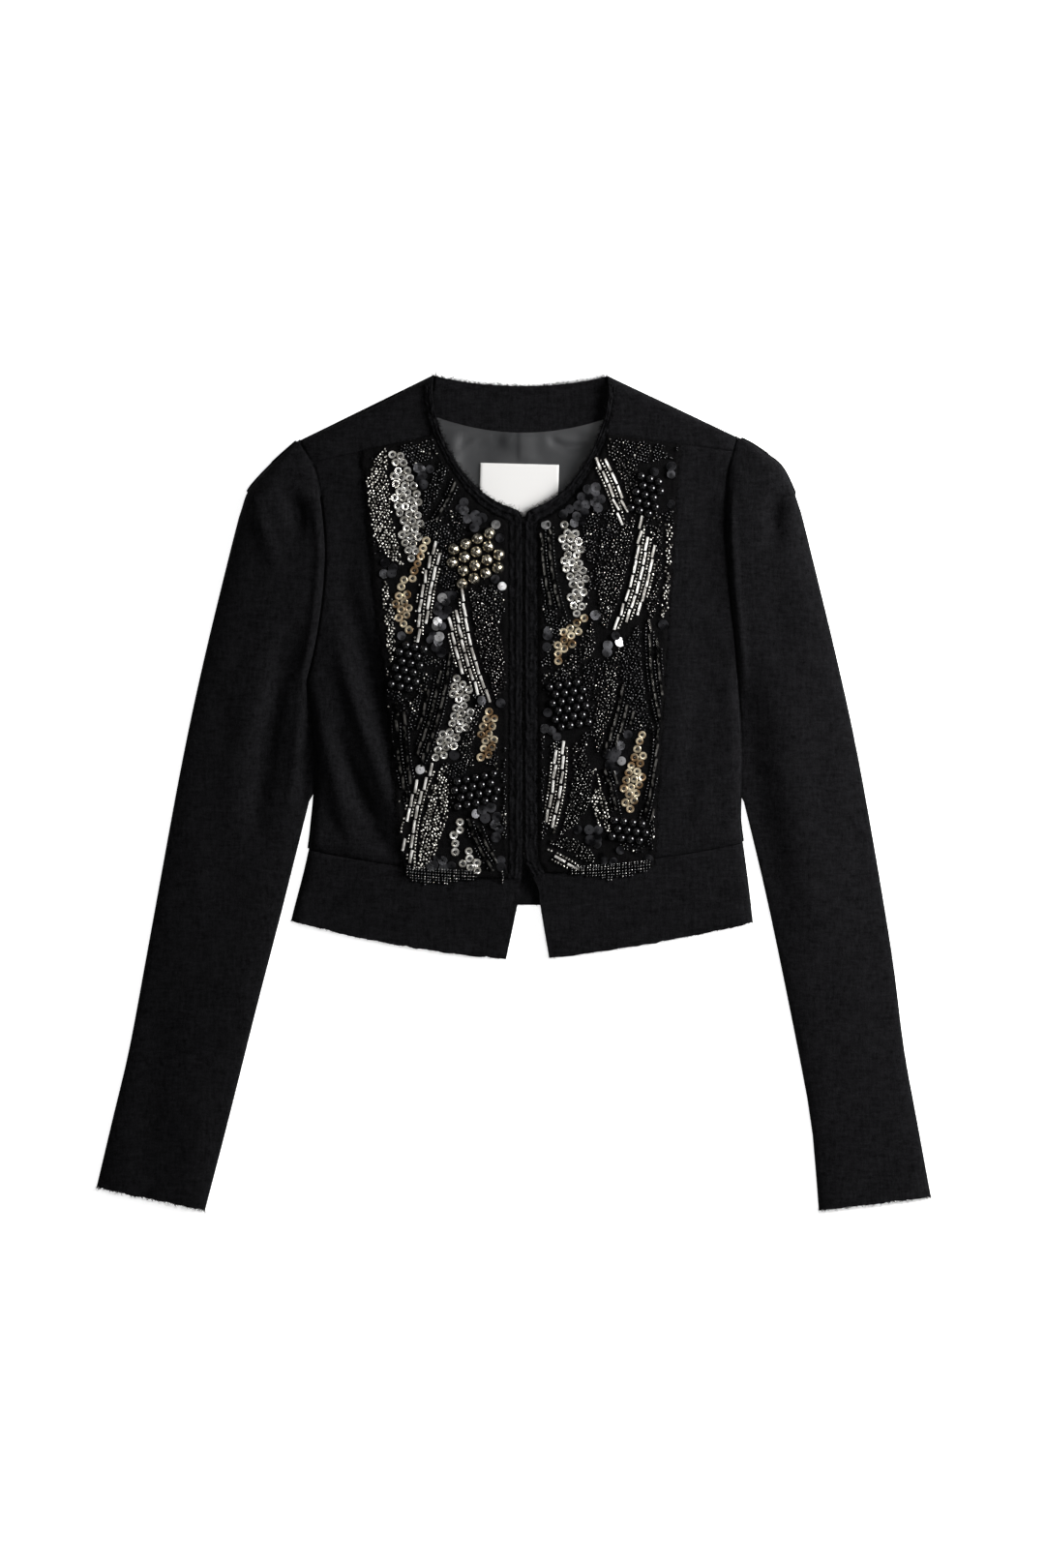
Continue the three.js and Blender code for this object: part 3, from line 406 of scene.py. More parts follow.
def folds(table, half_name, out, down):
    """The height that a table of folds adds at each point."""
    total = np.zeros_like(out)
    share = np.linspace(0, 1, 24)[:, None]
    for name, start, bend, end, width, rise in table:
        if name != half_name:
            continue
        a, b, c = (np.array(p, float) for p in (start, bend, end))
        curve = a * (1 - share) ** 2 + 2 * b * share * (1 - share) + c * share**2
        distance = np.hypot(out[..., None] - curve[:, 0], down[..., None] - curve[:, 1])
        nearest = distance.argmin(axis=-1)
        taper = 0.35 + 0.65 * np.sin(np.pi * share[nearest, 0])
        total = total + rise * taper * bump(distance.min(axis=-1) / width)
    return total


def soft_noise(x, y, size, seed):
    """Smooth noise from -1 to 1 with features of about that size."""
    grid = np.random.default_rng(seed).uniform(-1, 1, (64, 64))
    u, v = np.asarray(x) / size, np.asarray(y) / size
    i, j = np.floor(u).astype(int), np.floor(v).astype(int)
    s, t = smoothstep(u - i, 0, 1), smoothstep(v - j, 0, 1)
    top = mix(grid[i % 64, j % 64], grid[(i + 1) % 64, j % 64], s)
    bottom = mix(grid[i % 64, (j + 1) % 64], grid[(i + 1) % 64, (j + 1) % 64], s)
    return mix(top, bottom, t)


def uneven(kind, x, y):
    return sum(amount * soft_noise(x, y, size, seed) for amount, size, seed in UNEVEN[kind])


def waist_down(half, out):
    side = half["side"][-1]
    t = np.clip(out / side[0], 0, 1)
    return mix(WAIST_AT_FRONT, side[1], t) + WAIST_BOW * bow(t)


def armhole_height(half, down):
    from_tip = roll(down - half["armhole"][0][1] + TIP["above"], TIP["roll"])
    from_underarm = 1 - smoothstep(down, *UNDERARM_BLEND)
    return RIM + (SEAM_HEIGHT - RIM) * from_tip * from_underarm


def body_height(half_name, out, down):
    """The height of the fronts' outer surface."""
    half = HALVES[half_name]
    out, down = np.asarray(out, float), np.asarray(down, float)
    waist = waist_down(half, out)
    shoulder = np.interp(out, half["shoulder_line"][:, 0], half["shoulder_line"][:, 1])
    from_shoulder = np.maximum(0, down - shoulder) * SHOULDER_SLOPE
    rim = mix(FOLD_RIM, RIM, smoothstep(from_shoulder, 0, SHOULDER_ROLL))
    side = half["whole_side"]
    from_side = np.maximum(0, np.interp(down, side[:, 1], side[:, 0]) - out)
    across_bust = (out - BUST["out"]) / BUST["half_width"]
    down_bust = (down - BUST["down"]) / BUST["half_length"]
    tuck = TUCK["rise"] * bump((waist - down - TUCK["above"]) / TUCK["width"])
    level = mix(BODY_LOFT, HEM_LOFT, smoothstep(down, waist, half["front_edge"][-1][1]))
    level = level + BUST["rise"] * bump(across_bust) * bump(down_bust)
    level = level + tuck * smoothstep(out, TUCK["start"], TUCK["end"])
    level = level - GROOVE["depth"] * bump((down - waist) / GROOVE["width"])
    level = level + folds(BODY_FOLDS, half_name, out, down)
    loft = np.maximum(level, LEAST_LOFT)
    edge = np.where(down < UNDERARM_BLEND[1], armhole_height(half, down), RIM)
    kept = np.minimum(1, (edge - RIM) / (loft - RIM))
    across = kept + (1 - kept) * roll(from_side, SIDE_ROLL)
    height = rim + (loft - rim) * across * roll(from_shoulder, SHOULDER_ROLL)
    settled = smoothstep(from_side, *SETTLED) * smoothstep(from_shoulder, *SETTLED)
    return height + settled * uneven("body", half["sign"] * out, down)


# Rows and columns of the body's surface, at the same places as the part's
NECK_ROWS, CORNER_ROWS, FRONT_ROWS = 6, 3, 11
WEDGE_ROWS = [0, 0.05, 0.15, 0.32, 0.6, 1]
BAND_ROWS = [0, 0.08, 0.3, 0.62, 1]
NEAR_WAIST = 0.965
FIRST_STRIP = 2
FIRST_FRONT = len(WEDGE_ROWS)
FIRST_BAND = FIRST_FRONT + 2 + NECK_ROWS + CORNER_ROWS + FRONT_ROWS
LAST_ROW = FIRST_BAND + len(BAND_ROWS) - 1


def stations(half):
    """The distances along the inner and outer lines where each row of the body starts and ends."""
    inner, outer, band = half["inner"], half["outer"], half["band_outer"]
    neck_seam = inner.where_down(half["shoulder_seam"]["neck"])
    corner = inner.where_down(NECK_DROP)
    edge = inner.where_down(NECK_DROP + CORNER["down"])
    waist = inner.where_down(WAIST_AT_FRONT)
    near = mix(edge, waist, NEAR_WAIST)
    arm_seam = outer.where_down(half["shoulder_seam"]["armhole"])
    count = 1 + NECK_ROWS + CORNER_ROWS + FRONT_ROWS
    inside = np.concatenate([
        (neck_seam - SEAM / 2) * np.array(WEDGE_ROWS),
        [neck_seam + SEAM / 2],
        np.linspace(neck_seam, corner, NECK_ROWS + 1)[1:],
        np.linspace(corner, edge, CORNER_ROWS + 1)[1:],
        np.linspace(edge, near, FRONT_ROWS + 1)[1:],
        [waist - SEAM / 2],
        mix(waist + SEAM / 2, inner.length, np.array(BAND_ROWS)),
    ])
    outside = np.concatenate([
        (arm_seam - SEAM / 2) * np.array(WEDGE_ROWS),
        np.linspace(arm_seam + SEAM / 2, outer.length * NEAR_WAIST, count),
        [outer.length - SEAM / 2],
        mix(SEAM / 2, band.length, np.array(BAND_ROWS)),
    ])
    return inside, outside


def plan(half_name, rows, zones):
    """(out, down) over the body, by row and by (zone, share) of a column: strip, bib, panel or side."""
    half = HALVES[half_name]
    inside, outside = stations(half)
    index = np.arange(len(inside))
    reached = np.interp(rows, index, inside)
    start = half["inner"].at(reached)
    above = half["outer"].at(np.interp(rows, index[:FIRST_BAND], outside[:FIRST_BAND]))
    below = half["band_outer"].at(np.interp(rows, index[FIRST_BAND:], outside[FIRST_BAND:]))
    end = mix(above, below, np.clip(np.asarray(rows) - FIRST_BAND + 1, 0, 1)[:, None])
    tangent = half["inner"].tangent(np.clip(reached, 2, half["inner"].length - 2))
    square = stack(tangent[:, 1], -tangent[:, 0])
    blend = np.minimum(1, np.asarray(rows) / (len(WEDGE_ROWS) - 1))[:, None]
    inwards = unit(mix(unit(end - start), square, blend))
    narrow = 1 - smoothstep(start[:, 1], *STRIP["widens"])
    width = mix(STRIP["at_front"], STRIP["at_neck"], narrow)[:, None]
    origin = start + inwards * (width + 2 * SEAM)
    run = end - origin
    edge = half["bib_edge"]
    to_bib = edge["top"] - edge["taper"] * (origin[:, 1] - edge["level"]) - origin[:, 0]
    to_bib = (to_bib / (run[:, 0] + edge["taper"] * run[:, 1]))[:, None]
    roll_share = np.minimum(SIDE_ROLL / run[:, :1], MOST_SIDE_ROLL * (1 - to_bib))
    columns = []
    for zone, share in zones:
        if zone == "strip":
            columns.append(start + inwards * width * share)
        elif zone == "bib":
            columns.append(origin + run * to_bib * share)
        elif zone == "panel":
            columns.append(origin + run * mix(to_bib, 1 - roll_share, share))
        else:
            angle = math.radians(90 * (1 - share))
            columns.append(origin + run * (1 - roll_share * (1 - math.cos(angle))))
    points = np.stack(columns, axis=1)
    fall = np.interp(rows, range(FIRST_BAND, LAST_ROW + 1), BAND_ROWS)
    bowed = mix(WAIST_BOW, half["hem_bow"], fall)
    bowed = bowed * smoothstep(start[:, 1], HEM_BOW_START, WAIST_AT_FRONT - 1)
    along = (points[..., 0] - start[:, None, 0]) / (end - start)[:, None, 0]
    points[..., 1] += bowed[:, None] * bow(along)
    return points[..., 0], points[..., 1]


def zone(name, first, last, count):
    return [(name, share) for share in np.linspace(first, last, count)]


def down_to_band(first, count):
    """Rows of a bib or a strip, which ends a little way down the band."""
    return np.linspace(first, FIRST_BAND + 1, count)


def body_surface(half_name, rows, zones):
    out, down = plan(half_name, rows, zones)
    return stack(HALVES[half_name]["sign"] * out, -down, body_height(half_name, out, down))


def sleeve_lines(half):
    """The sleeve's outer edge and its inner one, which follows the armhole and then the side."""
    free = Line(spline(half["sleeve_inner"]))
    _, outside = stations(half)
    shared = half["outer"].at(np.linspace(0, outside[FIRST_BAND - 1], 90))
    shared = shared[shared[:, 1] < free.points[0, 1] - 5]
    shared = shared + (SLEEVE_GAP, 0)
    below = free.at(np.linspace(0, free.length, 12))
    return Line(spline(half["sleeve_outer"], 180)), Line(np.concatenate([shared, below]))


def sleeve_surface(half_name, rows, columns):
    half = HALVES[half_name]
    outer, inner = sleeve_lines(half)
    share = np.linspace(0, 1, rows) ** SLEEVE["row_bias"]
    across = (1 - np.cos(np.linspace(0, np.pi, columns))) / 2
    across = mix(across, np.linspace(0, 1, columns), SLEEVE["even_columns"])
    a, b = outer.at(outer.length * share), inner.at(inner.length * share)
    points = a[:, None] + (b - a)[:, None] * across[:, None]
    out, down = points[..., 0], points[..., 1]
    edge = armhole_height(half, b[:, 1])[:, None]
    fold = folds(SLEEVE_FOLDS, half_name, out, down)
    fold = fold * smoothstep(share, *SLEEVE["folds_start"])[:, None]
    t = outer.length * share
    i = np.clip(np.searchsorted(SLEEVE_LOFT_AT, t) - 1, 0, len(SLEEVE_LOFT) - 2)
    between = smoothstep(t, SLEEVE_LOFT_AT[i], SLEEVE_LOFT_AT[i + 1])
    loft = mix(SLEEVE_LOFT[i], SLEEVE_LOFT[i + 1], between)
    loft = np.maximum(np.maximum(loft[:, None] + fold, edge + SLEEVE["over_seam"]), LEAST_LOFT)
    kept = (edge - RIM) / (loft - RIM)
    inside = kept + (1 - kept) * roll(1 - across, SLEEVE_ROLL_SHARE)
    height = RIM + (loft - RIM) * roll(across, SLEEVE_ROLL_SHARE) * inside
    from_seam = np.hypot(out - b[:, :1], down - b[:, 1:])
    ridge = bump((from_seam - SEAM_RIDGE["at"]) / SEAM_RIDGE["width"])
    ridge = ridge * smoothstep(b[:, 1:], *SEAM_RIDGE["start"])
    height = height + SEAM_RIDGE["rise"] * ridge * (1 - smoothstep(b[:, 1:], *SEAM_RIDGE["end"]))
    settled = roll(across, 0.2) * roll(1 - across, 0.2)
    height = height + settled * uneven("sleeve", half["sign"] * out + 900, down)
    return stack(half["sign"] * out, -down, height)


def grid_normals(points):
    normal = unit(np.cross(np.gradient(points, axis=0), np.gradient(points, axis=1)))
    return np.where(normal[..., 2:] < 0, -normal, normal)


EDGES = ("top", "bottom", "inner", "outer")


def edge_distance(points, side):
    """How far each point of a grid is, along the cloth, from its top, bottom, inner or outer edge."""
    axis = EDGES.index(side) // 2
    step = steps_along(points, axis)
    zero = np.zeros_like(np.take(step, [0], axis=axis))
    reached = np.concatenate([zero, np.cumsum(step, axis=axis)], axis=axis)
    if side in ("bottom", "outer"):
        reached = np.take(reached, [-1], axis=axis) - reached
    return reached


def sewn(points, *sides, depth=0.9, radius=2.4):
    """Rounds a panel's outer surface down to the seams at those sides."""
    fall = np.zeros(points.shape[:2])
    for side in sides:
        fall = np.maximum(fall, 1 - roll(edge_distance(points, side), radius))
    return points - grid_normals(points) * (depth * fall)[..., None]


def wall(points, low=-WOOL, floor=RIM, high=0.0):
    """A closed wall between two distances from a grid of points: its vertices and its faces."""
    normals = grid_normals(points)
    top = points + normals * np.broadcast_to(high, points.shape[:2])[..., None]
    under = points + normals * low
    top[..., 2] = np.maximum(top[..., 2], floor)
    under[..., 2] = np.clip(under[..., 2], floor, np.maximum(top[..., 2] - LEAST_WALL, floor))
    rows, columns = points.shape[:2]
    index = np.arange(rows * columns).reshape(rows, columns)
    quads = stack(index[:-1, :-1], index[1:, :-1], index[1:, 1:], index[:-1, 1:]).reshape(-1, 4)
    ring = np.concatenate([index[0, :-1], index[:-1, -1], index[-1, :0:-1], index[:0:-1, 0]])
    after, count = np.roll(ring, -1), rows * columns
    rim = stack(ring, after, after + count, ring + count)
    faces = np.concatenate([quads, quads[:, ::-1] + count, rim])
    vertices = np.concatenate([top.reshape(-1, 3), under.reshape(-1, 3)])
    a, b, c = (top.reshape(-1, 3)[quads[:, k]] for k in range(3))
    if np.cross(b - a, c - a)[:, 2].sum() < 0:
        faces = faces[:, ::-1]
    return vertices, faces


origin_x = cad_box[0].x / MM + LEFT["sleeve_outer"][-1][0]
origin_y = cad_box[1].y / MM


def add_object(name, data):
    made = bpy.data.objects.new(name, data)
    bpy.context.collection.objects.link(made)
    return made


def add_mesh(name, parts, material, smooth_below=50):
    """One piece from a list of (vertices, faces) in the jacket's own millimetres."""
    vertices, loops, sizes, first = [], [], [], 0
    for points, faces in parts:
        vertices.append(np.asarray(points, float))
        loops.append((np.asarray(faces) + first).reshape(-1))
        sizes.append(np.full(len(faces), len(faces[0])))
        first += len(points)
    vertices = np.concatenate(vertices) + (origin_x, origin_y, 0)
    loops, sizes = np.concatenate(loops), np.concatenate(sizes)
    mesh = bpy.data.meshes.new(name)
    mesh.vertices.add(len(vertices))
    mesh.vertices.foreach_set("co", (vertices * MM).astype(np.float32).reshape(-1))
    mesh.loops.add(len(loops))
    mesh.loops.foreach_set("vertex_index", loops.astype(np.int32))
    mesh.polygons.add(len(sizes))
    mesh.polygons.foreach_set("loop_start", (np.cumsum(sizes) - sizes).astype(np.int32))
    mesh.polygons.foreach_set("loop_total", sizes.astype(np.int32))
    mesh.update(calc_edges=True)
    mesh.validate()
    mesh.polygons.foreach_set("use_smooth", np.ones(len(sizes), bool))
    mesh.set_sharp_from_angle(angle=math.radians(smooth_below))
    mesh.materials.append(material)
    piece = add_object(name, mesh)
    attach(piece, "root")
    return piece


# Materials


class Look:
    """A material with its shader's own sockets set, and the textures that colour and raise it."""

    def __init__(self, name, **values):
        self.material = bpy.data.materials.new(name)
        self.material.use_nodes = True
        self.tree = self.material.node_tree
        self.shader = self.tree.nodes["Principled BSDF"]
        self.point = self.tree.nodes.new("ShaderNodeTexCoord").outputs["Object"]
        self.fill(self.shader, values)

    def fill(self, node, values):
        """Sets sockets, each to a value or to another node's output."""
        for name, value in values.items():
            socket = node.inputs[name if isinstance(name, int) else name.replace("_", " ")]
            if isinstance(value, bpy.types.NodeSocket):
                self.tree.links.new(value, socket)
            else:
                socket.default_value = value
        return node

    def node(self, kind, **values):
        return self.fill(self.tree.nodes.new("ShaderNode" + kind), values)

    def noise(self, scale, detail=2.0, stretch=None, **values):
        point = self.point
        if stretch:
            point = self.node("Mapping", Vector=point, Scale=stretch).outputs["Vector"]
        return self.node("TexNoise", Vector=point, Scale=scale, Detail=detail, **values).outputs["Fac"]

    def wave(self, scale, direction="X", **values):
        made = self.node("TexWave", Vector=self.point, Scale=scale, **values)
        made.bands_direction = direction
        return made.outputs["Fac"]

    def total(self, *terms):
        """The sum of values, each times its share."""
        reached = 0.0
        for value, share in terms:
            made = self.tree.nodes.new("ShaderNodeMath")
            made.operation = "MULTIPLY_ADD"
            reached = self.fill(made, {0: value, 1: share, 2: reached}).outputs["Value"]
        return reached

    def coloured(self, tone, dark, light, low=0.3, high=0.7):
        """Colours the shader from dark to light as the tone goes from low to high."""
        made = self.node("ValToRGB", Fac=tone)
        first, last = made.color_ramp.elements
        first.position, last.position = low, high
        first.color, last.color = (*dark, 1), (*light, 1)
        self.fill(self.shader, {"Base Color": made.outputs["Color"]})
        return self

    def raised(self, height, strength, distance):
        made = self.node("Bump", Height=height, Strength=strength, Distance=distance)
        self.fill(self.shader, {"Normal": made.outputs["Normal"]})
        return self.material


def wool(name, dark, light):
    """Napped woollen cloth: the grain of its weave, both ways, under matted fibres."""
    look = Look(
        name, Roughness=0.95, Sheen_Weight=0.01, Sheen_Roughness=0.4, Sheen_Tint=(0.75, 0.76, 0.82, 1),
        Specular_IOR_Level=0.04,
    )
    along, across = (look.noise(400.0, 4.0, s, Roughness=0.75) for s in ((1, 0.25, 1), (0.25, 1, 1)))
    nap = look.noise(520.0, 4.0, Roughness=0.75, Distortion=1.5)
    fibres = look.total((along, 1.0), (across, 1.0), (nap, 1.0))
    mottled = look.total((fibres, FIBRE_SHARE), (look.noise(55.0, 3.0), CLOUD_SHARE))
    return look.coloured(mottled, dark, light, 0.38, 0.62).raised(fibres, 0.7, 0.0009)


def satin():
    """Charcoal satin with its faint lengthwise sheen."""
    look = Look(
        "lining_satin", Roughness=0.45, Specular_IOR_Level=0.4, Sheen_Weight=0.08, Sheen_Roughness=0.4
    )
    look.coloured(look.noise(30.0, 3.0), (0.016, 0.0165, 0.018), (0.034, 0.0345, 0.036))
    return look.raised(look.wave(700.0, Distortion=1.0, Detail=1.0), 0.12, 0.0002)


def ribbon():
    """The blank woven label."""
    look = Look("label_ribbon", Roughness=0.7, Sheen_Weight=0.15)
    weave = look.wave(480.0, "Y", Distortion=0.5)
    return look.coloured(weave, (0.68, 0.67, 0.655), (0.74, 0.73, 0.715)).raised(weave, 0.25, 0.0002)


def bead(name, dark, light, metallic, roughness, coat, scale):
    """Glass, foil or metal beads whose tone varies from bead to bead."""
    look = Look(name, Metallic=metallic, Roughness=roughness, Coat_Weight=coat, Coat_Roughness=0.08)
    look.coloured(look.noise(scale, 1.0), dark, light, 0.4, 0.6)
    return look.raised(look.noise(1800.0), 0.08, 0.0001)


def wire():
    look = Look("hook_wire", Metallic=1.0, Roughness=0.3)
    drawn = look.noise(900.0)
    return look.coloured(drawn, (0.42, 0.41, 0.39), (0.6, 0.59, 0.57)).raised(drawn, 0.1, 0.0001)


# Shares that keep the mottled tone, of three layers of fibres and one of clouds, within 0 to 1
FIBRE_SHARE, CLOUD_SHARE = 0.3125, 0.0625
WOOL_CLOTH = wool("wool_cloth", (0.0006, 0.0006, 0.0007), (0.0098, 0.0097, 0.0108))
FELT = wool("bib_felt", (0.001, 0.001, 0.0011), (0.0042, 0.004, 0.0042))
THREAD = wool("wool_thread", (0.0014, 0.0014, 0.0015), (0.005, 0.0048, 0.005))
SATIN_CLOTH, RIBBON, METAL = satin(), ribbon(), wire()
BEADS = {
    # name, darkest and lightest tone, metallic, roughness, coat, scale of the tone
    "cups": ("sequin_silver", (0.45, 0.43, 0.38), (0.95, 0.93, 0.88), 0.75, 0.25, 0.0, 210.0),
    "cups_gold": ("sequin_champagne", (0.26, 0.16, 0.08), (0.93, 0.8, 0.57), 0.65, 0.26, 0.0, 120.0),
    "seeds_black": ("seed_black", (0.002, 0.002, 0.002), (0.008, 0.008, 0.009), 0.0, 0.1, 0.3, 500.0),
    "seeds_grey": ("seed_gunmetal", (0.006, 0.006, 0.006), (0.25, 0.245, 0.235), 0.9, 0.18, 0.0, 520.0),
    "seeds_silver": ("seed_silver", (0.06, 0.055, 0.045), (0.98, 0.95, 0.88), 0.6, 0.22, 0.0, 540.0),
    "bugles": ("bugle_silver", (0.4, 0.38, 0.35), (0.98, 0.96, 0.92), 0.5, 0.24, 0.0, 120.0),
    "bugles_dark": ("bugle_gunmetal", (0.005, 0.005, 0.005), (0.3, 0.29, 0.27), 0.9, 0.18, 0.0, 240.0),
    "paillettes": ("paillette_black", (0.003, 0.003, 0.004), (0.05, 0.05, 0.055), 0.6, 0.28, 0.0, 150.0),
    # painted glints: a light copy of the black paillettes, sown where light should catch them
    "paillettes_bright": ("paillette_painted_glint", (0.3, 0.3, 0.3), (0.85, 0.84, 0.85), 0.8, 0.3, 0.0, 150.0),
    "pearl": ("pearl_black", (0.002, 0.002, 0.0025), (0.005, 0.005, 0.0055), 0.0, 0.08, 0.3, 160.0),
    "stud": ("stud_antique", (0.1, 0.085, 0.06), (0.85, 0.79, 0.66), 1.0, 0.26, 0.0, 420.0),
}
BEADS = {kind: bead(*look) for kind, look in BEADS.items()}


# Cloth


def declare(piece, width, length, area, rests_on):
    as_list(rests_on)


def cloth_area(points):
    """A grid's area and its longest width and length, in millimetres."""
    a, b, c, d = points[:-1, :-1], points[1:, :-1], points[1:, 1:], points[:-1, 1:]
    area = np.linalg.norm(np.cross(c - a, d - b), axis=-1).sum() / 2
    width = steps_along(points, 1).sum(axis=1).max()
    length = steps_along(points, 0).sum(axis=0).max()
    return width * 1.001, length * 1.001, area


def panel(name, points, rests_on="back", material=WOOL_CLOTH, slot="wool", **sides):
    """A visible panel that stands for the part's node of the same name."""
    piece = add_mesh(name + "_cloth", [wall(points, **sides)], material)
    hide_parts(name)
    declare(piece, *cloth_area(points), [rests_on])


FRONT_ZONES = zone("strip", 0, 1, 4) + zone("bib", 0, 1, 16)
FRONT_ZONES += zone("panel", 0.03, 1, 34) + zone("side", 0.05, 1, 12)
# The rows and columns of each finer sheet
ROWS = {
    "front": 170, "band": 46, "wedge": 40, "sleeve": 230,
    "bib": 190, "strip": 420, "lining": 62, "label": 40,
}
COLUMNS = {"sleeve": 52, "bib": 60, "strip": 23, "lining": 110, "label": 60}


def build_fronts():
    for name in HALVES:
        front = body_surface(name, np.linspace(FIRST_FRONT, FIRST_BAND - 1, ROWS["front"]), FRONT_ZONES)
        panel(f"front_{name}", sewn(front, "top", "bottom", "outer"))
        band = body_surface(name, np.linspace(FIRST_BAND, LAST_ROW, ROWS["band"]), FRONT_ZONES)
        band = sewn(band, "top")
        band[..., 2] += uneven("band", band[..., 0], band[..., 1]) * smoothstep(band[..., 2], 3, 5)
        panel(f"band_{name}", ragged(band), "band_back")


def plate(outline):
    """A flat sheet of cloth on an outline: its lower face, its upper face and its rim."""
    count = len(outline)
    points = np.concatenate([stack(*outline.T, 0), stack(*outline.T, WOOL)])
    ring = np.arange(count)
    after = np.roll(ring, -1)
    rim = stack(ring, after, after + count, ring + count)
    return [(points, faces) for faces in ([ring[::-1]], [ring + count], rim)]


def back_neck(count):
    """Points along the back neck, from the left shoulder to the right."""
    x = np.linspace(-LEFT["neck_width"], RIGHT["neck_width"], count)
    width = np.where(x < 0, LEFT["neck_width"], RIGHT["neck_width"])
    shoulder = np.where(x < 0, LEFT["shoulder"][0][1], RIGHT["shoulder"][0][1])
    return stack(x, -mix(BACK_NECK["centre"], shoulder, (abs(x) / width) ** BACK_NECK["roundness"]))


def build_back():
    """The back lies flat, and turns over each shoulder to the seam on the front."""
    sides = []
    for half in (LEFT, RIGHT):
        side = half["outer"].at(np.linspace(0, half["outer"].length, 60))[1:]
        beside_sleeve = smoothstep(side[:, 1], 225, 250) * (1 - smoothstep(side[:, 1], 338, 346))
        side = side + stack(UNDER_SLEEVE_REACH * beside_sleeve, 0)
        sides.append(np.concatenate([half["shoulder_line"][::4], side]) * (half["sign"], -1))
    ends = LEFT["side"][-1], RIGHT["side"][-1]
    share = np.linspace(0, 1, 20)[1:-1]
    dip = (BACK_WAIST_AT_CENTRE - (ends[0][1] + ends[1][1]) / 2) * bow(share)
    waist_y = -mix(ends[0][1], ends[1][1], share) - dip - SEAM
    waist = stack(mix(-ends[0][0], ends[1][0], share), waist_y)
    for side in sides:
        side[-1, 1] -= SEAM
    outline = np.concatenate([back_neck(24)[-2:0:-1], sides[0], waist, sides[1][::-1]])
    parts = plate(outline)
    (x, y), (next_x, next_y) = outline.T, np.roll(outline, -1, axis=0).T
    area = abs((x * next_y - next_x * y).sum()) / 2
    for name in HALVES:
        rows = (len(WEDGE_ROWS) - 1) * np.linspace(0, 1, ROWS["wedge"]) ** 1.3
        wedge = sewn(body_surface(name, rows, FRONT_ZONES), "bottom", "outer")
        parts.append(wall(wedge, floor=0.2))
        area += cloth_area(wedge)[2]
    piece = add_mesh("back_cloth", parts, WOOL_CLOTH)
    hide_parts("back")
    declare(piece, *BACK_CUT, area, [])


def ragged(points):
    """Lets a panel's last row wander, as a raw edge does."""
    end = points[-1]
    wander = uneven("raw_edge", end[:, 0] + 400, end[:, 1])
    points[-1] += unit((end - points[-2]) * (1, 1, 0)) * wander[:, None]
    return points


def build_sleeves():
    for name in HALVES:
        points = sleeve_surface(name, ROWS["sleeve"], COLUMNS["sleeve"])
        points = ragged(sewn(points, "outer", "inner", depth=0.5))
        panel(f"sleeve_{name}_upper", points, f"sleeve_{name}_under")


def build_bibs():
    """The felted cloth under the beads, uneven and a little thicker at its raw border."""
    for name in HALVES:
        columns = zone("bib", 0, 1, COLUMNS["bib"])
        points = body_surface(name, down_to_band(FIRST_FRONT, ROWS["bib"]), columns)
        border = np.minimum.reduce([edge_distance(points, side) for side in EDGES])
        across, along = points[:, -1] - points[:, -8], edge_distance(points, "top")[:, -1]
        torn = unit(across * (1, 1, 0)) * uneven("bib_edge", along, 0 * along)[:, None]
        near = smoothstep(np.linspace(0, 1, COLUMNS["bib"]), BORDER["torn_from"], 1)
        points += torn[:, None] * near[:, None]
        lift = BORDER["lift"] + uneven("bib", points[..., 0], points[..., 1])
        lift = lift * mix(BORDER["at_edge"], 1, roll(border, BORDER["roll"]))
        lift = lift + BORDER["ridge"] * bump((border - BORDER["ridge_at"]) / BORDER["ridge_width"])
        panel(f"bib_{name}", points, f"front_{name}_cloth", FELT, "beadwork", low=SEAM, high=lift)


def build_strips():
    """Two raw-edged strips of wool along the neckline and the front, the narrow one on the wide one."""
    for name in HALVES:
        columns = zone("strip", 0, 1, COLUMNS["strip"])
        points = body_surface(name, down_to_band(FIRST_STRIP, ROWS["strip"]), columns)
        share = np.array([s for _, s in columns])
        reached = edge_distance(points, "top")
        s = share + uneven("strip_lines", reached, reached * 0)
        upper = smoothstep(s, *UPPER_STRIP["start"]) * (1 - smoothstep(s, *UPPER_STRIP["end"]))
        ridges = sum(rise * bump((s - at) / width) for at, width, rise in STRIP_RIDGES)
        fuzz = uneven("strip", reached, share * STRIP["fuzz_across"] + 0 * reached)
        lift = STRIP["lift"] + UPPER_STRIP["lift"] * upper + ridges + fuzz
        lift = lift - STRIP["edge_drop"] * (1 - roll(share, 0.05))
        panel(f"edge_strip_{name}", points, f"front_{name}_cloth", low=SEAM, high=lift)


def facing_down(x):
    return FACING_EDGE["centre"] - FACING_EDGE["rise"] * (x / FACING_EDGE["at"]) ** 2


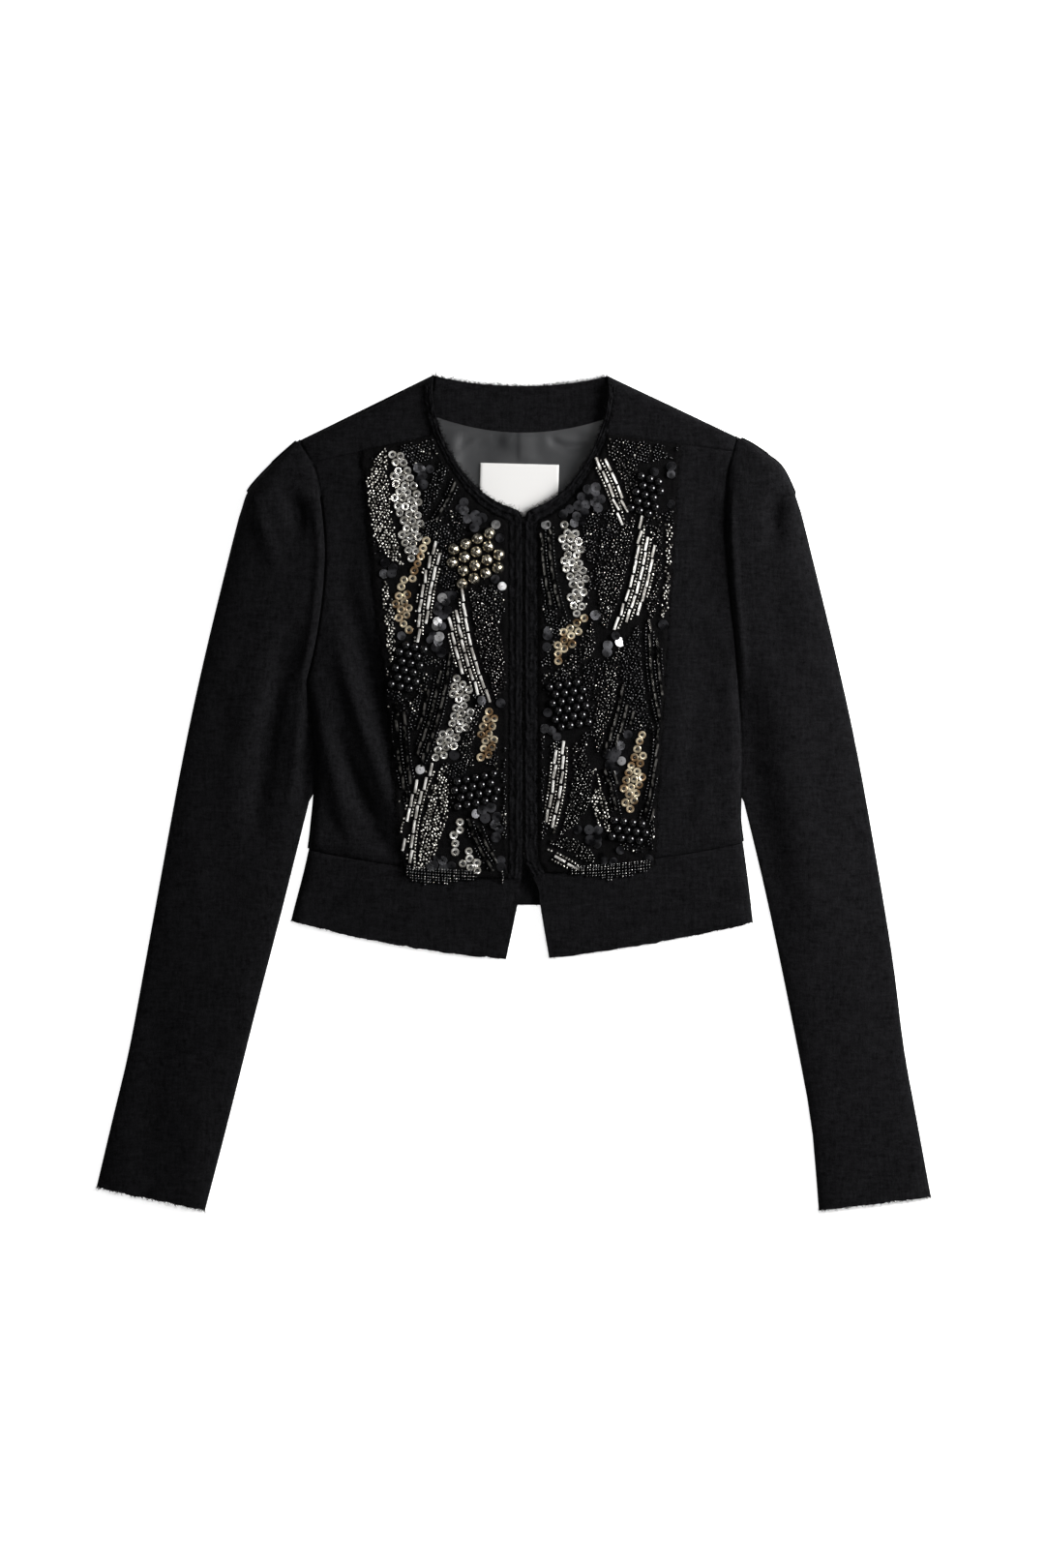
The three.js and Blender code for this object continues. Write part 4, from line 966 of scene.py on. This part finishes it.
def build_lining():
    """The satin lies in soft waves, with a pleat down the centre back, and flat under the label."""
    across = np.linspace(-LINING["width"], LINING["width"], COLUMNS["lining"])
    share = np.linspace(0, 1, ROWS["lining"])[:, None]
    top = facing_down(np.minimum(np.abs(across), FACING_EDGE["tuck"])) + SEAM
    down = mix(top, LINING["bottom"], share)
    x = np.broadcast_to(across, down.shape)
    reach = LABEL["right"] - LABEL_MIDDLE
    beside = smoothstep(np.abs(x - LABEL_MIDDLE), reach + 4, reach + 30)
    above = 1 - smoothstep(down, LABEL["top"] - 25, LABEL["top"] - 3)
    free = np.minimum(1, beside + above) * smoothstep(down, 40, 56)
    wave = 0.5 + 0.5 * np.sin(2 * np.pi * (x - LINING["slant"] * down) / LINING["wave_length"])
    height = RIM + SATIN + LINING["wave"] * wave * free
    height = height + free * uneven("lining", x + 200, down * 0.35)
    for name, half in HALVES.items():
        height = height + folds(LINING_FOLDS, name, half["sign"] * x, down) * free
    pleat = x - LINING["pleat"]
    fade = 1 - smoothstep(down, LABEL["top"] - 6, LABEL["top"])
    height = height + fade * (0.5 * smoothstep(pleat, -0.5, 0.2) * (1 - smoothstep(pleat, 6, 16)))
    panel("lining", stack(x, -down, height), "back", SATIN_CLOTH, "lining", low=-SATIN)


def build_label():
    """A blank label with folded ends, sewn along its top and bottom."""
    width = LABEL["right"] - LABEL["left"]
    u, v = np.meshgrid(*(np.linspace(-0.5, 0.5, count["label"]) for count in (COLUMNS, ROWS)))
    x, y = u * width, -v * LABEL["height"]
    lift = 0.3 * bow(v + 0.5) * (1 + uneven("label", x + 80, y + 80))
    edge = np.minimum(width / 2 - np.abs(x), LABEL["height"] / 2 - np.abs(y))
    height = RIM + SATIN + SEAM + SATIN + lift - 0.35 * (1 - roll(edge, 1.2))
    x, y = turned(x, y, LABEL["tilt"])
    points = stack(x + LABEL_MIDDLE, y - (LABEL["top"] + LABEL["height"] / 2), height)
    panel("label", points, "lining_cloth", RIBBON, "label", low=-0.8, floor=RIM + SATIN + 0.1)


# Frayed edges: threads per millimetre, their length, their radius and their seed
FRAY = {
    "strip_0": (4.4, 2.3, 0.17, 100),
    "strip_1": (2.2, 2.3, 0.17, 101),
    "strip_2": (2.4, 2.3, 0.17, 102),
    "bib_side": (3.2, 2.4, 0.15, 120),
    "bib_end": (3.2, 2.2, 0.15, 130),
    "hem": (3.6, 1.5, 0.16, 140),
    "band": (2.6, 1.2, 0.13, 150),
    "cuff": (5.0, 2.5, 0.2, 160),
    "under_cuff": (2.6, 1.2, 0.13, 170),
    "back_neck": (5.5, 3.0, 0.2, 180),
    "back_hem": (2.6, 1.3, 0.13, 190),
}
LOOSE = {"rings": 4, "root": 0.7, "rise": 0.25, "curl": 0.45, "droop": -0.05, "longest": 1.8, "taper": 0.55}
BACK_HEM = {"down": 434, "bow": 13}


def threads(kind, place, edge, inner, lift, spread=0.7, seed=0):
    """Loose threads along a raw edge, which point away from the row of points beside it."""
    per_mm, length, radius, first_seed = FRAY[kind]
    pick = np.random.default_rng(first_seed + seed)
    edge, aim = edge + (0, 0, lift), unit((edge - inner) * (1, 1, 0))
    line = Line(edge)
    count = int(line.length * per_mm)
    reached = np.sort(pick.uniform(0, line.length, count))
    root, out = line.at(reached), unit(line.at(reached, aim))
    along = unit(line.at(reached + 1) - line.at(reached - 1))
    angle = pick.normal(0, spread, count)[:, None]
    up = np.array([0, 0, 1.0])
    rise = up * pick.normal(0, LOOSE["rise"], count)[:, None]
    way = unit(out * np.cos(angle) + along * np.sin(angle) + rise)
    size = length * np.minimum(pick.gamma(4, 0.25, count), LOOSE["longest"])
    curl = along * pick.normal(0, LOOSE["curl"], count)[:, None]
    curl = curl + up * pick.normal(LOOSE["droop"], LOOSE["rise"], count)[:, None]
    share = np.linspace(0, 1, LOOSE["rings"])
    spine = (root - out * LOOSE["root"])[:, None] + way[:, None] * (size[:, None] * share)[..., None]
    spine = spine + curl[:, None] * (size[:, None] * share**2)[..., None]
    spine[..., 2] = np.maximum(spine[..., 2], 0.25)
    side = unit(np.cross(way, up))
    other = np.cross(side, way)
    turn = np.radians([0, 120, 240])
    thick = radius * pick.uniform(0.6, 1.3, count)[:, None] * (1 - LOOSE["taper"] * share)
    ring = side[:, None] * np.cos(turn)[:, None] + other[:, None] * np.sin(turn)[:, None]
    points = spine[:, :, None] + ring[:, None] * thick[..., None, None]
    start = (np.arange(count) * LOOSE["rings"] * 3)[:, None, None]
    step, corner = np.arange(LOOSE["rings"] - 1)[:, None] * 3, np.arange(3)
    near, far = start + step + corner, start + step + (corner + 1) % 3
    faces = stack(near, far, far + 3, near + 3).reshape(-1, 4)
    add_mesh("fray_" + place, [(points.reshape(-1, 3), faces)], THREAD, 80)


def build_fray():
    """Frayed threads at the raw edges: neckline, front, bibs, hem and cuffs."""
    flat = (1, 1, 0)
    for number, name in enumerate(HALVES):
        strip = body_surface(name, down_to_band(FIRST_STRIP, 300), [("strip", s) for s in (0, 0.55, 1)])
        for column, beside, lift in ((0, 1, 1.6), (1, 0, 2.3), (2, 1, 1.6)):
            place, edge, inner = f"strip_{name}_{column}", strip[:, column], strip[:, beside]
            threads(f"strip_{column}", place, edge, inner, lift, seed=number * 10)
        bib = body_surface(name, down_to_band(FIRST_FRONT, 220), [("bib", 1), ("bib", 0.9)])
        foot = body_surface(name, np.array([FIRST_BAND + 0.5, FIRST_BAND + 1]), zone("bib", 0, 1, 60))
        hem = body_surface(name, np.array([LAST_ROW - 0.3, LAST_ROW]), FRONT_ZONES)
        band = body_surface(name, np.linspace(FIRST_BAND, LAST_ROW, 60), [("strip", 0), ("strip", 1)])
        cuff = sleeve_surface(name, 120, 60)
        edges = {
            "bib_side": (bib[:, 0], bib[:, 1], 1.1, 0.9),
            "bib_end": (foot[1], foot[0], 1.1, 0.9),
            "hem": (hem[1], hem[0], -0.8),
            "band": (band[:, 0], band[:, 1], -0.8),
            "cuff": (cuff[-1], cuff[-3], -0.8),
            "under_cuff": (cuff[-1] * flat, cuff[-3] * flat, 0.9),
        }
        for kind, edge in edges.items():
            threads(kind, f"{kind}_{name}", *edge, seed=number)
    neck = stack(*back_neck(80).T, 2.6)
    threads("back_neck", "back_neck", neck, neck - (0, 1, 0), 0)
    share = np.linspace(0, 1, 80)
    x = mix(-LEFT["band_side"][-1][0], RIGHT["band_side"][-1][0], share)
    hem = stack(x, -(BACK_HEM["down"] - BACK_HEM["bow"] * bow(share)), 0.9)
    threads("back_hem", "back_hem", hem, hem + (0, 1, 0), 0)


# Beads


def lathe(profile, segments):
    """A round solid about z, from (radius, height) rows."""
    turn = np.linspace(0, 2 * np.pi, segments, endpoint=False)
    rings = [stack(r * np.cos(turn), r * np.sin(turn), h) for r, h in profile]
    i = np.arange(segments)
    after = (i + 1) % segments
    faces = []
    for level in range(len(profile) - 1):
        low, high = level * segments, (level + 1) * segments
        faces.append(stack(i + low, after + low, after + high, i + high))
    return np.concatenate(rings), np.concatenate(faces)


def ball(radius, segments, levels, flat=0.9):
    angle = np.linspace(-np.pi / 2, np.pi / 2, levels + 1)
    profile = [(max(radius * np.cos(a), 0.02), radius * flat * np.sin(a)) for a in angle]
    return lathe(profile, segments)


def tube(radius, length, segments=6):
    """A bugle along x, with its open ends turned in."""
    end = length / 2
    profile = [(radius * 0.5, 0.3 - end), (radius, -end), (radius, end), (radius * 0.5, end - 0.3)]
    points, faces = lathe(profile, segments)
    return points[:, [2, 0, 1]], faces


RING = [(1.25, -0.4), (1.4, 0.15), (2.1, 0.4), (3.0, 0.42), (3.25, 0.05)]
DISC = [(0.45, 0.1), (2.2, 0.09), (3.95, 0.05), (4.0, -0.15)]
STUD = [(4.9, -1.0), (4.8, 0.2), (4.5, 1.3), (3.9, 2.4), (2.9, 3.5), (1.5, 4.3), (0.3, 4.6), (0.02, 4.5)]
TEMPLATES = {
    "cups": lathe(RING, 14),
    "paillettes": lathe(DISC, 18),
    "seeds": ball(1.0, 6, 4),
    "bugles": tube(1.15, 10.6),
    "pearl": ball(LARGE_RADIUS["pearl"], 16, 10, 1.0),
    "stud": lathe(STUD, 18),
}
# By family: pitch and jitter in a leaf, the room each bead needs, its lift, its sizes and its tilt
Family = namedtuple("Family", "pitch jitter margin lift sizes tilt")
FAMILIES = {
    "seeds": Family(2.6, 0.15, 1.0, 0.55, (0.82, 1.04), 0.7),
    "bugles": Family(11.8, 0, 1.0, 0.7, (0.9, 1.04), 0.05),
    "cups": Family(6.5, 0.05, 2.5, 0.35, (0.94, 1.05), 0.12),
    "paillettes": Family(6.4, 0.2, 3.4, 0.5, (0.85, 1.05), 0.17),
}
SEED_RISE, PAILLETTE_RISE = (-0.15, 0.25), (0, 0.9)
CUP_LEAN = 0.14
EYE = {"lift": 0.1, "size": 0.8}
# Between the leaves: the jitter and turn of each lattice, and the shares of the seed beads
GROUND = {"seeds": (0.12, 0.3), "paillettes": (0.2, 0.7)}
GROUND_SHARES = (("seeds_black", 0, 0.8), ("seeds_grey", 0.8, 0.95), ("seeds_silver", 0.95, 1))
SEEDS_ABOVE, PAILLETTES_BELOW, STREAKS_ABOVE = 0.14, 0.1, -0.6
# What is kept free: at the bib's edge, beside a leaf as a share of the margin, and round a large bead
LEAF_GAPS, GROUND_GAPS = (1.2, 0.6, 0.2), (1.4, 0.7, 0.0)
CLOTH_TOP = SEAM + 1.5
# The seed beads in the lines between two kinds of bugles
LINES = {"bugles": "seeds_silver", "bugles_dark": "seeds_black"}
ALONG_X, UPRIGHT = (1.0, 0, 0), (0, 0, 1.0)


def family(kind):
    return kind.split("_")[0]


def scatter(template, centres, along, normals, scale=1.0):
    """Copies of a template, each turned to its own direction and normal."""
    points, faces = template
    count = len(centres)
    z = unit(np.broadcast_to(normals, centres.shape))
    y = unit(np.cross(z, along))
    turned_points = points @ np.stack([np.cross(y, z), y, z], axis=1)
    placed = centres[:, None] + turned_points * np.broadcast_to(scale, count)[:, None, None]
    offset = (np.arange(count) * len(points))[:, None, None]
    return placed.reshape(-1, 3), (faces + offset).reshape(-1, faces.shape[1])


def inside(polygon, points):
    """How far inside a polygon each point lies. Outside it is negative."""
    a, b = polygon, np.roll(polygon, -1, axis=0)
    p = points[:, None]
    along = b - a
    t = np.clip(((p - a) * along).sum(-1) / np.maximum((along**2).sum(-1), 1e-9), 0, 1)
    distance = np.linalg.norm(p - (a + along * t[..., None]), axis=-1).min(axis=1)
    crosses = (a[:, 1] > p[..., 1]) != (b[:, 1] > p[..., 1])
    rise = np.where(b[:, 1] == a[:, 1], 1e-9, b[:, 1] - a[:, 1])
    at = a[:, 0] + (p[..., 1] - a[:, 1]) / rise * (b[:, 0] - a[:, 0])
    odd = (crosses & (p[..., 0] < at)).sum(axis=1) % 2 == 1
    return np.where(odd, distance, -distance)


def leaf_place(leaf, points):
    """Where points lie in a leaf: how far from its vein, and its half width there."""
    across, along = turned(points[:, 0] - leaf.out, points[:, 1] - leaf.down, math.radians(leaf.turn))
    arch = 1 - np.clip(2 * along / leaf.length, -1, 1) ** 2
    return across - leaf.bend * arch, leaf.width / 2 * np.maximum(0, arch) ** LEAF_FULLNESS


def leaf_lines(leaf, first, pitch):
    """Sites in every other line along a leaf, for strings of beads."""
    sin, cos = math.sin(math.radians(leaf.turn)), math.cos(math.radians(leaf.turn))
    lines = np.arange(-leaf.width / 2 + first * LINE_PITCH, leaf.width / 2, 2 * LINE_PITCH)
    sites = []
    for number, across in enumerate(lines):
        along = np.arange(-leaf.length / 2 + (number % 3) * LINE_SHIFT, leaf.length / 2, pitch)
        offset = across + leaf.bend * (1 - (2 * along / leaf.length) ** 2)
        x = leaf.out + along * sin + offset * cos
        sites.append(stack(x, leaf.down + along * cos - offset * sin))
    return np.concatenate(sites)


def lattice(pitch, jitter, angle, low, high):
    """A staggered lattice of points over a box, turned and shaken."""
    (x0, y0), (x1, y1) = low, high
    count = int((math.hypot(x1 - x0, y1 - y0) / 2 + pitch) / pitch) + 2
    i, j = np.meshgrid(np.arange(-count, count + 1), np.arange(-count * 2, count * 2 + 1))
    points = stack(*turned((i + 0.5 * (j % 2)) * pitch, j * pitch * 0.87, angle)).reshape(-1, 2)
    points = points + ((x0 + x1) / 2, (y0 + y1) / 2)
    points = points + random.normal(0, jitter * pitch, points.shape)
    return points[((points > low) & (points < high)).all(axis=1)]


def large_sites(name):
    """The middles of the large beads, by kind."""
    found = {kind: [np.zeros((0, 2))] for kind in LARGE_RADIUS}
    for half_name, kind, out, down, rows, columns, turn in BEAD_PATCHES:
        if half_name == name:
            pitch = LARGE_RADIUS[kind] * LARGE_PITCH
            i, j = np.mgrid[:rows, :columns].reshape(2, -1)
            across = (j - (columns - 1) / 2 + np.where(i % 2, 0.25, -0.25)) * pitch
            along = (i - (rows - 1) / 2) * pitch * 0.9
            found[kind].append(stack(*turned(across, along, math.radians(turn))) + (out, down))
    return {kind: np.concatenate(sites) for kind, sites in found.items()}


def spun(count):
    """Directions in the plan, turned at random."""
    turn = random.uniform(0, 2 * np.pi, count)
    return stack(np.cos(turn), np.sin(turn), 0)


def raised(centres, normal, low, high):
    return centres + normal * random.uniform(low, high, len(centres))[:, None]


def tilted(normal, amount):
    return unit(normal + random.normal(0, amount, normal.shape) * (1, 1, 0))


class Bib:
    """The beadwork of one bib: its large beads, and the small ones sown on it so far."""

    def __init__(self, name):
        self.name, self.sign = name, HALVES[name]["sign"]
        sides = stack(*plan(name, down_to_band(FIRST_FRONT, 60), [("bib", 0), ("bib", 1)]))
        self.outline = np.concatenate([sides[:, 0], sides[::-1, 1]])
        self.leaves = [leaf for leaf in LEAVES if leaf.half == name]
        self.large = large_sites(name)
        self.sown = {}

    def on_cloth(self, sites, lift):
        """Positions and normals on the bib's cloth at (out, down) sites."""
        out, down = sites.T
        step = 1.5
        here = body_height(self.name, out, down)
        slope_out = (body_height(self.name, out + step, down) - here) / step
        slope_down = (body_height(self.name, out, down + step) - here) / step
        normal = unit(stack(-self.sign * slope_out, slope_down, 1))
        return stack(self.sign * out, -down, here) + normal * lift, normal

    def add(self, label, kind, centres, way, normal, scale=1.0, smooth_below=50):
        beads = scatter(TEMPLATES[family(kind)], centres, way, normal, scale)
        add_mesh(f"bib_{self.name}_{label}", [beads], BEADS[kind], smooth_below)

    def sow(self, kind, sites, way=None):
        """Adds to the sites of a kind, with each bead's direction, which is random where none is given."""
        if len(sites):
            way = spun(len(sites)) if way is None else np.broadcast_to(way, (len(sites), 3))
            self.sown.setdefault(kind, []).append((sites, way))

    def clear(self, sites, margin, gaps, leaves):
        """The sites that lie inside the bib and clear of those leaves and of the large beads."""
        at_edge, beside_leaf, round_bead = gaps
        kept = inside(self.outline, sites) > margin + at_edge
        for leaf in leaves:
            away, width = leaf_place(leaf, sites)
            kept &= np.abs(away) > width + margin * beside_leaf
        sites = sites[kept]
        for kind, others in self.large.items():
            distance = np.linalg.norm(sites[:, None] - others, axis=-1).min(axis=1, initial=np.inf)
            sites = sites[distance > LARGE_RADIUS[kind] + margin + round_bead]
        return sites

    def fill_leaf(self, leaf, earlier):
        """Sows either side of a leaf's vein with its own kind of bead."""
        angle = math.radians(leaf.turn)
        middle, reach = np.array([leaf.out, leaf.down]), (leaf.length + leaf.width) / 2
        for side, fill in ((-1, leaf.inner), (1, leaf.outer)):
            own = FAMILIES[family(fill)]
            if fill in LINES:
                filled = {fill: leaf_lines(leaf, 0, own.pitch)}
                filled[LINES[fill]] = leaf_lines(leaf, 1, FAMILIES["seeds"].pitch)
            else:
                filled = {fill: lattice(own.pitch, own.jitter, angle, middle - reach, middle + reach)}
            for kind, sites in filled.items():
                margin = FAMILIES[family(kind)].margin
                across, half_width = leaf_place(leaf, sites)
                kept = side * across > VEIN + margin * 0.5
                kept &= np.abs(across) < half_width - margin * 0.3
                sites = self.clear(sites[kept], margin, LEAF_GAPS, earlier)
                self.sow(kind, sites, (self.sign * math.sin(angle), -math.cos(angle), 0.0))

    def fill_ground(self):
        """Black seed beads and paillettes between the leaves, with bare streaks left between them."""
        box = self.outline.min(axis=0), self.outline.max(axis=0)
        found = []
        for kin, (jitter, angle) in GROUND.items():
            sites = lattice(FAMILIES[kin].pitch, jitter, angle, *box)
            sites = self.clear(sites, FAMILIES[kin].margin, GROUND_GAPS, self.leaves)
            found.append((sites, uneven("patches", sites[:, 0] + 300, sites[:, 1])))
        (seeds, seed_patch), (discs, disc_patch) = found
        seeds = seeds[(seed_patch > SEEDS_ABOVE) & (uneven("streaks", *seeds.T) > STREAKS_ABOVE)]
        discs = discs[disc_patch < PAILLETTES_BELOW]
        share = random.uniform(0, 1, len(seeds))
        for kind, low, high in GROUND_SHARES:
            self.sow(kind, seeds[(share >= low) & (share < high)])
        # Painted glints: where the lit noise is high, and at random elsewhere, paillettes get the light copy
        # of their material
        lit = smoothstep(uneven("lit", discs[:, 0] + 500, discs[:, 1]), 0.0, 0.6)
        bright = random.uniform(0, 1, len(discs)) < 0.03 + 0.5 * lit
        self.sow("paillettes", discs[~bright])
        self.sow("paillettes_bright", discs[bright])

    def add_small(self, kind, sites, way):
        """Small beads of one kind, each a little uneven as its family is."""
        count, own = len(sites), FAMILIES[family(kind)]
        centres, normal = self.on_cloth(sites, CLOTH_TOP + own.lift)
        if kind.startswith("seeds"):
            centres = raised(centres, normal, *SEED_RISE)
            way, scale, normal = spun(count), random.uniform(*own.sizes, count), tilted(normal, own.tilt)
        elif kind.startswith("bugles"):
            way = unit(way + random.normal(0, own.tilt, way.shape))
            scale = random.uniform(*own.sizes, count)
        elif kind.startswith("cups"):
            normal = tilted(normal + unit(way) * CUP_LEAN, own.tilt)
            scale = random.uniform(*own.sizes, count)
            self.add(f"{kind}_eyes", "seeds_black", centres + normal * EYE["lift"], way, normal, EYE["size"])
        else:
            centres = raised(centres, normal, *PAILLETTE_RISE)
            scale, normal = random.uniform(*own.sizes, count), tilted(normal, own.tilt)
        self.add(kind, kind, centres, way, normal, scale)

    def add_strands(self):
        """Short strings of seed beads, sewn on near the bib's foot, that end on the band below it."""
        pick = np.random.default_rng(STRANDS["seed"])
        columns = zone("bib", 0.05, 0.95, STRANDS["count"])
        out, down = (found[0] for found in plan(self.name, np.array([FIRST_BAND + 1.0]), columns))
        cluster = smoothstep(uneven("strands", out + 400, 0 * out), -0.35, 0.45)
        reach = (STRANDS["reach"] * cluster * pick.uniform(0.5, 1, len(out)))[:, None]
        along = np.arange(-STRANDS["above"], STRANDS["reach"], STRANDS["bead"])
        x = out[:, None] + uneven("sway", out[:, None] * 7, along)
        kept = (along < reach) & (reach > 1)
        sites = stack(x[kept], (down[:, None] + along)[kept])
        lift = mix(CLOTH_TOP + 0.9, SEAM + 0.9, smoothstep(along, -1, 3)) + 0 * x
        centres, normal = self.on_cloth(sites, lift[kept][:, None])
        share = pick.uniform(0, 1, len(sites))
        for kind, chosen in (("seeds_black", share < 0.55), ("seeds_grey", share >= 0.55)):
            self.add(f"strands_{kind}", kind, centres[chosen], ALONG_X, normal[chosen])


def build_beads():
    for name in HALVES:
        bib = Bib(name)
        for number, leaf in enumerate(bib.leaves):
            bib.fill_leaf(leaf, bib.leaves[:number])
        bib.fill_ground()
        for kind, rows in sorted(bib.sown.items()):
            bib.add_small(kind, *(np.concatenate(part) for part in zip(*rows)))
        bib.add_strands()
        for kind, sites in bib.large.items():
            if len(sites):
                centres, _ = bib.on_cloth(sites, SEAM + BIB_THICKNESS)
                bib.add(kind, kind, centres, ALONG_X, UPRIGHT, smooth_below=60)


# Finish


def finish_cad_nodes():
    """The part's own nodes that stay in view."""
    for name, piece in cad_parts.items():
        flat = name in ("band_back", "neck_facing", "sleeve_left_under", "sleeve_right_under")
        if flat or name.startswith(("hook_", "eye_")):
            piece.data.materials.clear()
            piece.data.materials.append(WOOL_CLOTH if flat else METAL)
        if flat:
            low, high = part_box(name)
            piece.data.calc_loop_triangles()
            area = sum(t.area for t in piece.data.loop_triangles) / 2 / MM / MM
            width, length = (high.x - low.x) / MM, (high.y - low.y) / MM
            declare(piece, width, length, min(area, width * length), [])


def build_stage():
    mesh = bpy.data.meshes.new("floor")
    reach, height = 6.0, -0.0003
    corners = [(x * reach, y * reach, height) for x, y in ((-1, -1), (1, -1), (1, 1), (-1, 1))]
    mesh.from_pydata(corners, [], [(0, 1, 2, 3)])
    look = Look("floor_paper", Roughness=0.9, Emission_Color=(1, 1, 1, 1), Emission_Strength=FLOOR_GLOW)
    look.coloured(look.noise(400.0), (0.88, 0.88, 0.88), (0.9, 0.9, 0.9))
    mesh.materials.append(look.material)
    floor = add_object("floor", mesh)


LIGHTS = [
    # name, position in metres, size, power
    ("key", (1.35, 0.42, 0.66), 1.0, 58),
    ("fill", (-1.6, 1.9, 2.3), 2.2, 6),
    ("low", (0.5, -2.2, 1.9), 2.0, 6),
    ("spark", (0.45, 0.55, 2.4), 0.3, 7),
]
WORLD_STRENGTH = 0.06
FLOOR_GLOW = 0.8


def build_lights():
    for name, place, size, power in LIGHTS:
        light = bpy.data.lights.new(name, "AREA")
        light.shape = "DISK"
        light.size, light.energy = size, power
        lamp = add_object(name, light)
        lamp.location = place
        lamp.rotation_mode = "QUATERNION"
        lamp.rotation_quaternion = (-Vector(place)).to_track_quat("-Z", "Y")
    world = bpy.data.worlds.new("studio")
    world.use_nodes = True
    background = world.node_tree.nodes["Background"]
    background.inputs["Color"].default_value = (1, 1, 1, 1)
    background.inputs["Strength"].default_value = WORLD_STRENGTH
    scene = bpy.context.scene
    scene.world = world
    scene.view_settings.view_transform = "Standard"
    scene.view_settings.look = "None"


def build_camera():
    """Straight above the jacket, covering the photograph's frame at its scale."""
    distance = 4.0
    camera = bpy.data.cameras.new("camera")
    camera.lens = camera.sensor_width * distance / (IMAGE["height"] * MM_PER_PIXEL * MM)
    camera.clip_end = 20
    eye = add_object("camera", camera)
    x = (IMAGE["width"] / 2 - CENTRE_FRONT_PIXEL) * MM_PER_PIXEL + origin_x
    y = (SHOULDER_PIXEL - IMAGE["height"] / 2) * MM_PER_PIXEL + origin_y
    eye.location = (x * MM, y * MM, distance)
    bpy.context.scene.camera = eye


build_camera()
build_stage()
build_lights()
build_back()
build_fronts()
build_sleeves()
build_bibs()
build_strips()
build_lining()
build_label()
build_fray()
build_beads()
finish_cad_nodes()
